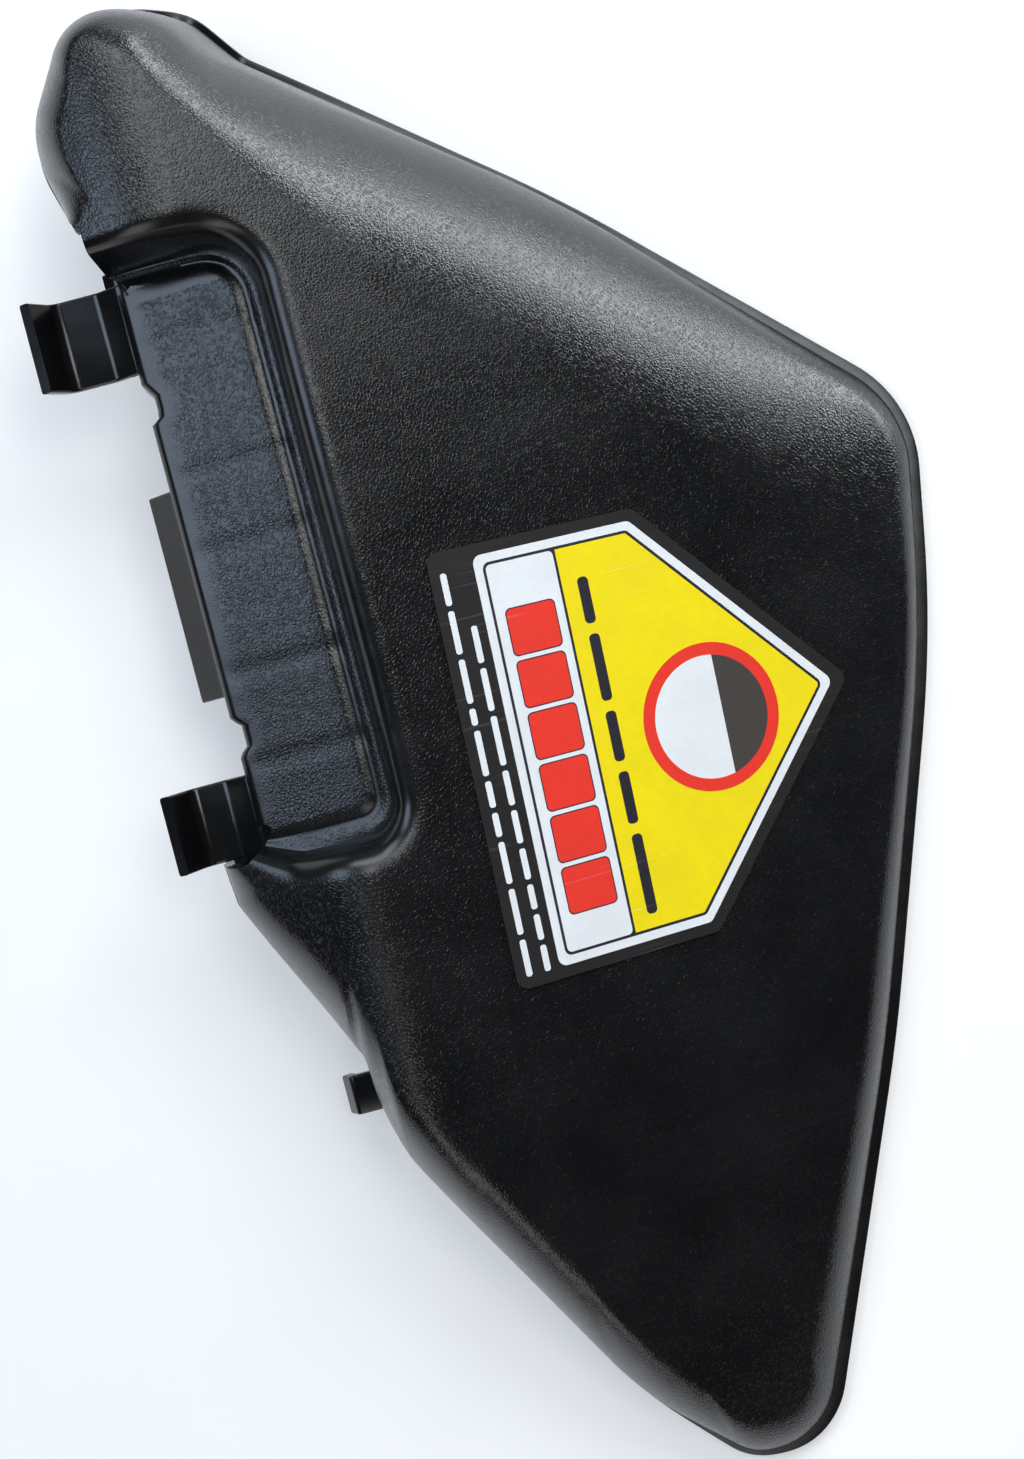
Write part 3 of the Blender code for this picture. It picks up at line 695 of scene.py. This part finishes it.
def rib_tree():
    """Copies of the base outline, made a plate and set at the ribs' places along y."""
    places = [(f"Place {number}", "NodeSocketFloat", y) for number, y in enumerate(RIBS_Y, 1)]
    tree, given, made = new_tree("GeometryNodeTree", "rib_row", (
        ("Geometry", "NodeSocketGeometry", None),
        ("Thickness", "NodeSocketFloat", RIB_THICKNESS),
        ("Finish", "NodeSocketMaterial", None),
        *places,
    ), (("Geometry", "NodeSocketGeometry"),))
    nodes = tree.nodes
    points = nodes.new("GeometryNodePoints")
    points.inputs["Count"].default_value = len(places)
    number = nodes.new("GeometryNodeInputIndex")
    switch = nodes.new("GeometryNodeIndexSwitch")
    switch.data_type = "FLOAT"
    while len(switch.index_switch_items) < len(places):
        switch.index_switch_items.new()
    spot = nodes.new("ShaderNodeCombineXYZ")
    plate = nodes.new("GeometryNodeExtrudeMesh")
    plate.inputs["Individual"].default_value = False
    back = nodes.new("GeometryNodeFlipFaces")
    both = nodes.new("GeometryNodeJoinGeometry")
    closed = nodes.new("GeometryNodeMergeByDistance")
    closed.inputs["Distance"].default_value = 0.000001
    copies = nodes.new("GeometryNodeInstanceOnPoints")
    realize = nodes.new("GeometryNodeRealizeInstances")
    finish = nodes.new("GeometryNodeSetMaterial")
    wire(tree, (
        (number, "Index", switch, "Index"),
        *((given, label, switch, index) for index, (label, _, _) in enumerate(places, 1)),
        (switch, 0, spot, "Y"),
        (spot, "Vector", points, "Position"),
        (given, "Geometry", plate, "Mesh"),
        (given, "Thickness", plate, "Offset Scale"),
        (given, "Geometry", back, "Mesh"),
        (plate, "Mesh", both, "Geometry"),
        (back, "Mesh", both, "Geometry"),
        (both, "Geometry", closed, "Geometry"),
        (points, 0, copies, "Points"),
        (closed, "Geometry", copies, "Instance"),
        (copies, "Instances", realize, "Geometry"),
        (realize, "Geometry", finish, "Geometry"),
        (given, "Finish", finish, "Material"),
        (finish, "Geometry", made, "Geometry"),
    ))
    return tree


def grown(name, base, tree, values, finish):
    """Runs a node tree on a base mesh and keeps the result as a plain mesh."""
    source = add_piece(name + "_base", base)
    source.data.materials.append(finish)
    step = source.modifiers.new("tree", "NODES")
    step.node_group = tree
    values = {**values, "Finish": finish}
    for socket in tree.interface.items_tree:
        if socket.in_out == "INPUT" and socket.name in values:
            step[socket.identifier] = values[socket.name]
    bpy.context.view_layer.update()
    graph = bpy.context.evaluated_depsgraph_get()
    mesh = bpy.data.meshes.new_from_object(source.evaluated_get(graph))
    bpy.data.objects.remove(source)
    mesh.name = name
    mesh.materials.clear()
    mesh.materials.append(finish)
    edit = bmesh.new()
    edit.from_mesh(mesh)
    bmesh.ops.recalc_face_normals(edit, faces=edit.faces)
    edit.to_mesh(mesh)
    edit.free()
    mesh.shade_smooth()
    mesh.set_sharp_from_angle(angle=SHARP_ANGLE)
    return add_piece(name, mesh)


def make_strip(name, profile, y_range, thickness, tree, finish):
    path = Path(profile).points
    middle = (y_range[0] + y_range[1]) / 2
    base = bpy.data.meshes.new(name + "_path")
    edges = [(index, index + 1) for index in range(len(path) - 1)]
    base.from_pydata([(x, middle, z) for x, z in path], edges, [])
    values = {"Width": y_range[1] - y_range[0], "Thickness": thickness}
    return grown(name, base, tree, values, finish)


def make_ribs(tree, finish):
    outline = rib_outline()
    base = bpy.data.meshes.new("rib_outline")
    spots = [(x, -RIB_THICKNESS / 2, z) for x, z in outline]
    base.from_pydata(spots, [], [tuple(range(len(spots)))[::-1]])
    return grown("ribs", base, tree, {}, finish)


def baked(item):
    """Puts the item's modifiers into its mesh."""
    bpy.context.view_layer.update()
    graph = bpy.context.evaluated_depsgraph_get()
    mesh = bpy.data.meshes.new_from_object(item.evaluated_get(graph))
    item.modifiers.clear()
    item.data = mesh
    return item


def smooth_inside(hood):
    """Takes the grain off the inner side, whose points come after the outer ones."""
    share = hood.data.attributes["grain"]
    values = np.zeros(len(hood.data.vertices), np.float32)
    share.data.foreach_get("value", values)
    values[len(values) // 2:] = 0
    share.data.foreach_set("value", values)


def film_matrix():
    """Places the film's own x and y in the plane of the main face."""
    normal = Vector((FALL_TO_OUTLET, -FALL_TO_TAIL, 1)).normalized()
    ahead = Vector((math.cos(FILM_TURN), math.sin(FILM_TURN), 0))
    ahead = (ahead - normal * ahead.dot(normal)).normalized()
    matrix = Matrix((ahead, normal.cross(ahead), normal)).transposed().to_4x4()
    spot = Vector((FILM_X, FILM_Y, main_face(FILM_X, FILM_Y)))
    matrix.translation = spot + normal * (SEAT_GAP + FILM_THICKNESS / 2)
    return matrix


def rounded_loop(corners):
    """A closed outline with an arc at each corner: x, y, radius."""
    points = []
    for index, corner in enumerate(corners):
        after = corners[(index + 1) % len(corners)]
        points += map(tuple, corner_arc(corners[index - 1], corner, after, LOOP_TURN))
    return points


def pointed_field(left, half, side, point, radius):
    """The film's five-sided shape: left edge, half width, end of the straight sides, point."""
    return rounded_loop(((left, -half, radius), (side, -half, radius), (point, 0, radius),
                         (side, half, radius), (left, half, radius)))


def bar(left, right, low, high, radius):
    return rounded_loop(((left, low, radius), (right, low, radius),
                         (right, high, radius), (left, high, radius)))


def disc(x, y, radius, from_angle=0.0, to_angle=math.tau):
    steps = math.ceil((to_angle - from_angle) / math.radians(3))
    angles = [from_angle + (to_angle - from_angle) * step / steps for step in range(steps + 1)]
    if to_angle - from_angle == math.tau:
        angles.pop()
    return [(x + radius * math.cos(angle), y + radius * math.sin(angle)) for angle in angles]


def dashes(centre, half, start, end, gap, shortest, longest, chance):
    """A broken line of rounded bars of uneven length."""
    bars = []
    while start < end - shortest:
        stop = min(start + chance.uniform(shortest, longest), end)
        bars.append(bar(centre - half, centre + half, start, stop, half * 0.8))
        start = stop + gap
    return bars


def print_fields():
    """Fields of the print from the lowest up: ink, level, outlines, in metres on the film."""
    chance = np.random.default_rng(7)
    block_count, block_pitch, block_gap, block_start = 6, 0.01270, 0.0016, -0.0386
    block_left, block_right, keyline_width = 0.0168, 0.0292, 0.0003
    blocks, edged = [], []
    for index in range(block_count):
        low = block_start + block_pitch * index
        high = block_start + block_pitch * (index + 1) - block_gap
        blocks.append(bar(block_left, block_right, low, high, 0.0012))
        edged.append(bar(block_left - keyline_width, block_right + keyline_width,
                         low - keyline_width, high + keyline_width, 0.0014))
    small_gap, small_dash, bold_gap, bold_dash = 0.0013, (0.004, 0.012), 0.0026, (0.011, 0.020)
    small_lines = dashes(0.0034, 0.0008, -0.0502, 0.0500, small_gap, *small_dash, chance)
    small_lines += dashes(0.0082, 0.0008, -0.0502, 0.0365, small_gap, *small_dash, chance)
    bold_line = dashes(0.0376, 0.0014, -0.0440, 0.0430, bold_gap, *bold_dash, chance)
    ring_x, ring_y, ring_radius, ring_inside = 0.0636, -0.0012, 0.0183, 0.0152
    half_turn = math.radians(78)
    return (
        ("white", 1, [pointed_field(0.0113, 0.0502, 0.0524, 0.0980, 0.0022), *small_lines]),
        ("keyline", 2, [pointed_field(0.0134, 0.0481, 0.0514, 0.0951, 0.0018)]),
        ("white", 3, [bar(0.0141, 0.0315, -0.0474, 0.0474, 0.0012)]),
        ("yellow", 3, [rounded_loop(((0.0322, -0.0474, 0.0001), (0.0510, -0.0474, 0.001),
                                     (0.0941, 0, 0.001), (0.0510, 0.0474, 0.001),
                                     (0.0322, 0.0474, 0.0001)))]),
        ("keyline", 4, [*edged, *bold_line]),
        ("red", 5, [*blocks, disc(ring_x, ring_y, ring_radius)]),
        ("white", 6, [disc(ring_x, ring_y, ring_inside)]),
        ("grey", 7, [disc(ring_x, ring_y, ring_inside, -half_turn, half_turn)]),
    )


def add_prism(edit, outline, low, high, slot):
    """A flat plate over an outline, closed all round."""
    bottom = [edit.verts.new((x, y, low)) for x, y in outline]
    top = [edit.verts.new((x, y, high)) for x, y in outline]
    faces = [edit.faces.new(top), edit.faces.new(bottom[::-1])]
    for index in range(len(outline)):
        after = (index + 1) % len(outline)
        faces.append(edit.faces.new((bottom[index], bottom[after], top[after], top[index])))
    for face in faces:
        face.material_index = slot


def film_plate():
    return pointed_field(0, FILM_WIDTH / 2, FILM_SIDE, FILM_SIDE + FILM_POINT, FILM_CORNER)


def make_film(inks):
    """The film plate with its print as thin raised fields of ink."""
    names = list(inks)
    edit = bmesh.new()
    half = FILM_THICKNESS / 2
    add_prism(edit, film_plate(), -half, half, names.index("film"))
    for ink, level, outlines in print_fields():
        for outline in outlines:
            add_prism(edit, outline, half - INK_STEP, half + INK_STEP * level, names.index(ink))
    mesh = bpy.data.meshes.new("film")
    edit.to_mesh(mesh)
    edit.free()
    for name in names:
        mesh.materials.append(inks[name])
    mesh.transform(film_matrix())
    return add_piece("film", mesh)


def film_box():
    """Middle of the bare film plate's box in the hinge frame."""
    half = FILM_THICKNESS / 2
    matrix = film_matrix()
    spots = np.array([matrix @ Vector((x, y, z)) for x, y in film_plate() for z in (-half, half)])
    return Vector((spots.min(axis=0) + spots.max(axis=0)) / 2)


# Shader groups and materials
def math_node(tree, operation, first, second=None, third=None, clamp=False):
    node = tree.nodes.new("ShaderNodeMath")
    node.operation = operation
    node.use_clamp = clamp
    for index, value in enumerate((first, second, third)):
        if value is not None:
            feed(tree, value, node.inputs[index])
    return node.outputs[0]


def spread(tree, value, from_low, from_high, to_low, to_high, smooth=False):
    node = tree.nodes.new("ShaderNodeMapRange")
    if smooth:
        node.interpolation_type = "SMOOTHSTEP"
    tree.links.new(value, node.inputs["Value"])
    for label, number in (("From Min", from_low), ("From Max", from_high),
                          ("To Min", to_low), ("To Max", to_high)):
        feed(tree, number, node.inputs[label])
    return node.outputs[0]


def noise(tree, vector, scale, detail=2.0, roughness=0.5):
    node = tree.nodes.new("ShaderNodeTexNoise")
    tree.links.new(vector, node.inputs["Vector"])
    node.inputs["Scale"].default_value = scale
    node.inputs["Detail"].default_value = detail
    node.inputs["Roughness"].default_value = roughness
    return node.outputs[0]


def scaled(tree, vector, factor):
    node = tree.nodes.new("ShaderNodeVectorMath")
    node.operation = "SCALE"
    tree.links.new(vector, node.inputs[0])
    feed(tree, factor, node.inputs["Scale"])
    return node.outputs[0]


def pebble_group():
    """Mould grain: small round pebbles with narrow valleys between them."""
    group, given, made = new_tree("ShaderNodeTree", "pebble_grain", (
        ("Vector", "NodeSocketVector", None),
        ("Cell Size", "NodeSocketFloat", 0.0011),
        ("Valley Width", "NodeSocketFloat", 0.30),
    ), (("Height", "NodeSocketFloat"),))
    nodes, link = group.nodes, group.links.new
    density = math_node(group, "DIVIDE", 1.0, given.outputs["Cell Size"])
    cells = scaled(group, given.outputs["Vector"], density)
    wobble = nodes.new("ShaderNodeTexNoise")
    wobble.inputs["Scale"].default_value = 0.9
    wobble.inputs["Detail"].default_value = 0.0
    link(cells, wobble.inputs["Vector"])
    shifted = nodes.new("ShaderNodeVectorMath")
    shifted.operation = "MULTIPLY_ADD"
    shifted.inputs[1].default_value = (0.35, 0.35, 0.35)
    link(wobble.outputs["Color"], shifted.inputs[0])
    link(cells, shifted.inputs[2])
    edges = nodes.new("ShaderNodeTexVoronoi")
    edges.feature = "DISTANCE_TO_EDGE"
    edges.inputs["Scale"].default_value = 1.0
    link(shifted.outputs[0], edges.inputs["Vector"])
    valley = given.outputs["Valley Width"]
    dome = spread(group, edges.outputs["Distance"], 0.0, valley, 0.0, 1.0, smooth=True)
    uneven = spread(group, wobble.outputs[0], 0.35, 0.65, 0.6, 1.0)
    link(math_node(group, "MULTIPLY", dome, uneven), made.inputs["Height"])
    return group


def sheen_group():
    """Slow changes of gloss and tone left by the moulding, with faint flow lines."""
    group, given, made = new_tree("ShaderNodeTree", "moulding_sheen", (
        ("Vector", "NodeSocketVector", None),
        ("Patch Size", "NodeSocketFloat", 0.030),
    ), (("Gloss", "NodeSocketFloat"), ("Tone", "NodeSocketFloat"), ("Ripple", "NodeSocketFloat")))
    link = group.links.new
    density = math_node(group, "DIVIDE", 1.0, given.outputs["Patch Size"])
    patches = scaled(group, given.outputs["Vector"], density)
    slow = noise(group, patches, 1.0, 1.0)
    mottled = noise(group, patches, 5.5, 1.0)
    stretch = group.nodes.new("ShaderNodeMapping")
    stretch.inputs["Rotation"].default_value = (0.0, 0.0, math.radians(24))
    stretch.inputs["Scale"].default_value = (0.5, 2.2, 1.0)
    link(patches, stretch.inputs["Vector"])
    flow = noise(group, stretch.outputs[0], 2.2, 0.0)
    gloss = math_node(group, "MULTIPLY_ADD", mottled, 0.35, math_node(group, "MULTIPLY", slow, 0.65))
    link(spread(group, gloss, 0.35, 0.65, 0.0, 1.0), made.inputs["Gloss"])
    link(spread(group, slow, 0.3, 0.7, 0.0, 1.0), made.inputs["Tone"])
    link(flow, made.inputs["Ripple"])
    return group


def scratch_group():
    """Sparse hair scratches and tiny scuffs from handling."""
    group, given, made = new_tree("ShaderNodeTree", "handling_marks", (
        ("Vector", "NodeSocketVector", None),
        ("Amount", "NodeSocketFloat", 0.3),
    ), (("Mark", "NodeSocketFloat"),))
    link = group.links.new
    lines = []
    for turn, offset in ((18, 0.0), (-52, 3.1)):
        place = group.nodes.new("ShaderNodeMapping")
        place.inputs["Location"].default_value = (offset, offset * 1.7, 0.0)
        place.inputs["Rotation"].default_value = (0.0, 0.0, math.radians(turn))
        place.inputs["Scale"].default_value = (26.0, 1500.0, 26.0)
        link(given.outputs["Vector"], place.inputs["Vector"])
        line = noise(group, place.outputs[0], 1.0, 0.0)
        lines.append(spread(group, line, 0.735, 0.80, 0.0, 1.0))
    every = math_node(group, "MAXIMUM", *lines)
    patch = spread(group, noise(group, given.outputs["Vector"], 34.0, 0.0), 0.50, 0.66, 0.0, 1.0)
    kept = math_node(group, "MULTIPLY", every, patch)
    link(math_node(group, "MULTIPLY", kept, given.outputs["Amount"], clamp=True), made.inputs["Mark"])
    return group


def placed(tree, group, vector, **values):
    node = tree.nodes.new("ShaderNodeGroup")
    node.node_tree = group
    tree.links.new(vector, node.inputs["Vector"])
    for label, value in values.items():
        node.inputs[label.replace("_", " ")].default_value = value
    return node


def new_material(name):
    made = bpy.data.materials.new(name)
    made.use_nodes = True
    tree = made.node_tree
    shader = tree.nodes["Principled BSDF"]
    place = tree.nodes.new("ShaderNodeTexCoord").outputs["Object"]
    return made, tree, shader, place


def blended(tree, factor, first, second):
    """A colour between two, by a factor."""
    node = tree.nodes.new("ShaderNodeMix")
    node.data_type = "RGBA"
    for socket, value in ((node.inputs[6], first), (node.inputs[7], second)):
        feed(tree, (*value, 1) if isinstance(value, tuple) else value, socket)
    tree.links.new(factor, node.inputs[0])
    return node.outputs[2]


def bumped(tree, height, distance):
    node = tree.nodes.new("ShaderNodeBump")
    node.inputs["Strength"].default_value = 1.0
    node.inputs["Distance"].default_value = distance
    tree.links.new(height, node.inputs["Height"])
    return node.outputs[0]


def chute_plastic(name, groups, roughness, tones):
    """Black moulded plastic: pebbled where the mesh's grain share says so, finely matt elsewhere."""
    made, tree, shader, place = new_material(name)
    share = tree.nodes.new("ShaderNodeAttribute")
    share.attribute_name = "grain"
    grained = share.outputs["Fac"]
    pebbles = placed(tree, groups["pebble"], place, Cell_Size=GRAIN_CELL)
    fine = noise(tree, place, 1 / FINE_CELL, 0.0)
    sheen = placed(tree, groups["sheen"], place)
    marks = placed(tree, groups["scratch"], place, Amount=0.25)
    tone = blended(tree, sheen.outputs["Tone"], *tones)
    scratched = math_node(tree, "MULTIPLY", marks.outputs["Mark"], 0.35)
    tone = blended(tree, scratched, tone, SCRATCHED_PLASTIC)
    tree.links.new(tone, shader.inputs["Base Color"])
    rough = spread(tree, grained, 0.0, 1.0, *roughness)
    rough = math_node(tree, "MULTIPLY_ADD", sheen.outputs["Gloss"], 0.07, rough)
    rough = math_node(tree, "MULTIPLY_ADD", marks.outputs["Mark"], 0.08, rough, clamp=True)
    tree.links.new(rough, shader.inputs["Roughness"])
    height = math_node(tree, "MULTIPLY", pebbles.outputs["Height"], grained)
    height = math_node(tree, "MULTIPLY_ADD", fine, FINE_DEPTH / GRAIN_DEPTH, height)
    height = math_node(tree, "MULTIPLY_ADD", sheen.outputs["Ripple"], RIPPLE_DEPTH / GRAIN_DEPTH, height)
    tree.links.new(bumped(tree, height, GRAIN_DEPTH), shader.inputs["Normal"])
    shader.inputs["Metallic"].default_value = 0
    shader.inputs["IOR"].default_value = PLASTIC_IOR
    return made


def ink(groups, name, colour, rub, rough):
    """Printed ink on glossy film, with the plastic's grain faintly showing through."""
    made, tree, shader, place = new_material(name)
    sheen = placed(tree, groups["sheen"], place, Patch_Size=0.012)
    marks = placed(tree, groups["scratch"], place, Amount=0.8)
    under = placed(tree, groups["pebble"], place, Cell_Size=GRAIN_CELL * 1.3, Valley_Width=0.6)
    shade = tuple(channel * 0.93 for channel in colour)
    tone = blended(tree, sheen.outputs["Gloss"], colour, shade)
    tone = blended(tree, math_node(tree, "MULTIPLY", marks.outputs["Mark"], 0.25), tone, rub)
    tree.links.new(tone, shader.inputs["Base Color"])
    gloss = math_node(tree, "MULTIPLY_ADD", sheen.outputs["Gloss"], 0.06, rough)
    gloss = math_node(tree, "MULTIPLY_ADD", marks.outputs["Mark"], 0.2, gloss, clamp=True)
    tree.links.new(gloss, shader.inputs["Roughness"])
    tree.links.new(bumped(tree, under.outputs["Height"], INK_BUMP), shader.inputs["Normal"])
    shader.inputs["Metallic"].default_value = 0
    shader.inputs["IOR"].default_value = PLASTIC_IOR
    return made


# Floor, lamps and camera
def make_floor():
    steps = 96
    angles = [math.tau * step / steps for step in range(steps)]
    ring = [(FLOOR_RADIUS * math.cos(angle), FLOOR_RADIUS * math.sin(angle), 0) for angle in angles]
    mesh = bpy.data.meshes.new("floor")
    mesh.from_pydata(ring, [], [tuple(range(steps))])
    floor = add_piece("floor", mesh)
    made = bpy.data.materials.new("pale_floor")
    made.use_nodes = True
    tree = made.node_tree
    tree.nodes.clear()
    link = tree.links.new
    place = tree.nodes.new("ShaderNodeTexCoord").outputs["Object"]
    length = tree.nodes.new("ShaderNodeVectorMath")
    length.operation = "LENGTH"
    link(place, length.inputs[0])
    fade = spread(tree, length.outputs["Value"], FLOOR_RADIUS * FLOOR_FADE_FROM,
                  FLOOR_RADIUS * FLOOR_FADE_TO, 0.0, 1.0, smooth=True)
    lit = tree.nodes.new("ShaderNodeBsdfDiffuse")
    paper = spread(tree, noise(tree, place, 40.0, 4.0), 0.3, 0.7, *FLOOR_TONES)
    tone = tree.nodes.new("ShaderNodeCombineColor")
    for channel in tone.inputs[:3]:
        link(paper, channel)
    link(tone.outputs[0], lit.inputs["Color"])
    rays = tree.nodes.new("ShaderNodeLightPath")
    seen = math_node(tree, "ADD", rays.outputs["Is Camera Ray"], rays.outputs["Is Glossy Ray"])
    seen = math_node(tree, "ADD", seen, rays.outputs["Is Transmission Ray"], clamp=True)
    glow = tree.nodes.new("ShaderNodeEmission")
    link(math_node(tree, "MULTIPLY", seen, FLOOR_LIFT), glow.inputs["Strength"])
    both = tree.nodes.new("ShaderNodeAddShader")
    link(lit.outputs[0], both.inputs[0])
    link(glow.outputs[0], both.inputs[1])
    clear = tree.nodes.new("ShaderNodeBsdfTransparent")
    mixed = tree.nodes.new("ShaderNodeMixShader")
    link(fade, mixed.inputs[0])
    link(both.outputs[0], mixed.inputs[1])
    link(clear.outputs[0], mixed.inputs[2])
    out = tree.nodes.new("ShaderNodeOutputMaterial")
    link(mixed.outputs[0], out.inputs["Surface"])
    mesh.materials.append(made)


def make_world():
    """White below and round the horizon, dark higher up, so that flat faces stay black."""
    world = bpy.data.worlds.new("studio")
    bpy.context.scene.world = world
    world.use_nodes = True
    tree = world.node_tree
    sky = tree.nodes["Background"]
    direction = tree.nodes.new("ShaderNodeTexCoord").outputs["Generated"]
    parts = tree.nodes.new("ShaderNodeSeparateXYZ")
    tree.links.new(direction, parts.inputs[0])
    level = spread(tree, parts.outputs["Z"], SKY_WHITE_TO, SKY_DARK_FROM, 1.0, SKY_DARK, smooth=True)
    tree.links.new(level, sky.inputs["Strength"])
    sky.inputs["Color"].default_value = (1, 1, 1, 1)


def soft_light(name, aim, heading, elevation, size, level, tint):
    """A soft box seen from the aim at a heading in x and y: level is its brightness."""
    light = bpy.data.lights.new(name, "AREA")
    light.shape = "RECTANGLE"
    light.size, light.size_y = size
    light.energy = level * math.pi * size[0] * size[1]
    light.color = tint
    flat = Vector((*heading, 0)).normalized() * math.cos(elevation)
    towards = flat + Vector((0, 0, math.sin(elevation)))
    item = bpy.data.objects.new(name, light)
    bpy.context.scene.collection.objects.link(item)
    item.location = aim + towards * LIGHT_DISTANCE
    item.rotation_euler = towards.to_track_quat("Z", "Y").to_euler()
    item.visible_camera = False


def make_camera(shift):
    camera = bpy.data.cameras.new("photo_camera")
    camera.sensor_fit = "AUTO"
    camera.sensor_width = 36
    camera.lens = camera.sensor_width * FOCAL_PIXELS / PHOTO_HEIGHT
    camera.shift_y = (LOOK_POINT_ROW - PHOTO_HEIGHT / 2) / PHOTO_HEIGHT
    camera.clip_start = 0.01
    camera.clip_end = 100
    item = bpy.data.objects.new("photo_camera", camera)
    bpy.context.scene.collection.objects.link(item)
    right, up = Vector(PHOTO_RIGHT).normalized(), Vector(PHOTO_UP).normalized()
    turned = Matrix((right, up, right.cross(up))).transposed().to_4x4()
    turned.translation = Vector((shift.x, shift.y, shift.z + CAMERA_HEIGHT))
    item.matrix_world = turned
    bpy.context.scene.camera = item


def settle(piece, shift, node):
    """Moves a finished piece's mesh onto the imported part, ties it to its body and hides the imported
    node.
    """
    piece.data.transform(Matrix.Translation(shift))
    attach(piece, "root")
    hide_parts(node)


def main(height):
    bpy.context.scene.view_settings.view_transform = "Standard"
    groups = {"pebble": pebble_group(), "sheen": sheen_group(), "scratch": scratch_group()}
    hood_finish = chute_plastic("hood_plastic", groups, HOOD_ROUGHNESS, HOOD_TONES)
    strip_finish = chute_plastic("hook_plastic", groups, HOOK_ROUGHNESS, HOOK_TONES)
    film_low, film_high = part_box("decal_film")
    shift = (film_low + film_high) / 2 - film_box()
    hood = baked(make_hood(hood_finish))
    smooth_inside(hood)
    hood.data.set_sharp_from_angle(angle=SHARP_ANGLE)
    strips = []
    for number, (start, end, floor_end) in enumerate(HOOKS, 1):
        strips.append((f"hook_{number}", hook_profile(floor_end), (start, end), HOOK_THICKNESS))
    for number, (start, end, reach) in enumerate(HOOK_ROOTS, 1):
        strips.append((f"hook_root_{number}", hook_root_profile(reach), (start, end), HOOK_THICKNESS))
    strips.append(("tab", tab_profile(), TAB_Y, TAB_THICKNESS))
    ear_range = (EAR_Y - EAR_HALF_WIDTH, EAR_Y + EAR_HALF_WIDTH)
    strips.append(("ear", ear_profile(), ear_range, EAR_THICKNESS))
    tree = strip_tree()
    pieces = [hood, *(make_strip(*strip, tree, strip_finish) for strip in strips)]
    pieces.append(make_ribs(rib_tree(), strip_finish))
    for piece in pieces:
        settle(piece, shift, "chute_moulding")
    inks = {name: ink(groups, *look) for name, look in INKS.items()}
    settle(make_film(inks), shift, "decal_film")
    make_floor()
    make_world()
    aim = Vector((0, 0, height / 2))
    for name, heading, elevation, size, level, tint in SOFT_BOXES:
        soft_light(name, aim, heading, math.radians(elevation), size, level, tint)
    make_camera(shift)


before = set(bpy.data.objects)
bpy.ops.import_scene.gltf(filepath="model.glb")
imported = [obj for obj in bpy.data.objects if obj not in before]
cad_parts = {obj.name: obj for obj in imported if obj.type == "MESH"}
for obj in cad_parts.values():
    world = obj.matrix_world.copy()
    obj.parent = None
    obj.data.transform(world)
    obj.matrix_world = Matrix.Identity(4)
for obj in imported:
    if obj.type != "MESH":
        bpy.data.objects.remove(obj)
cad_low, cad_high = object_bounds()
main(cad_high.z)
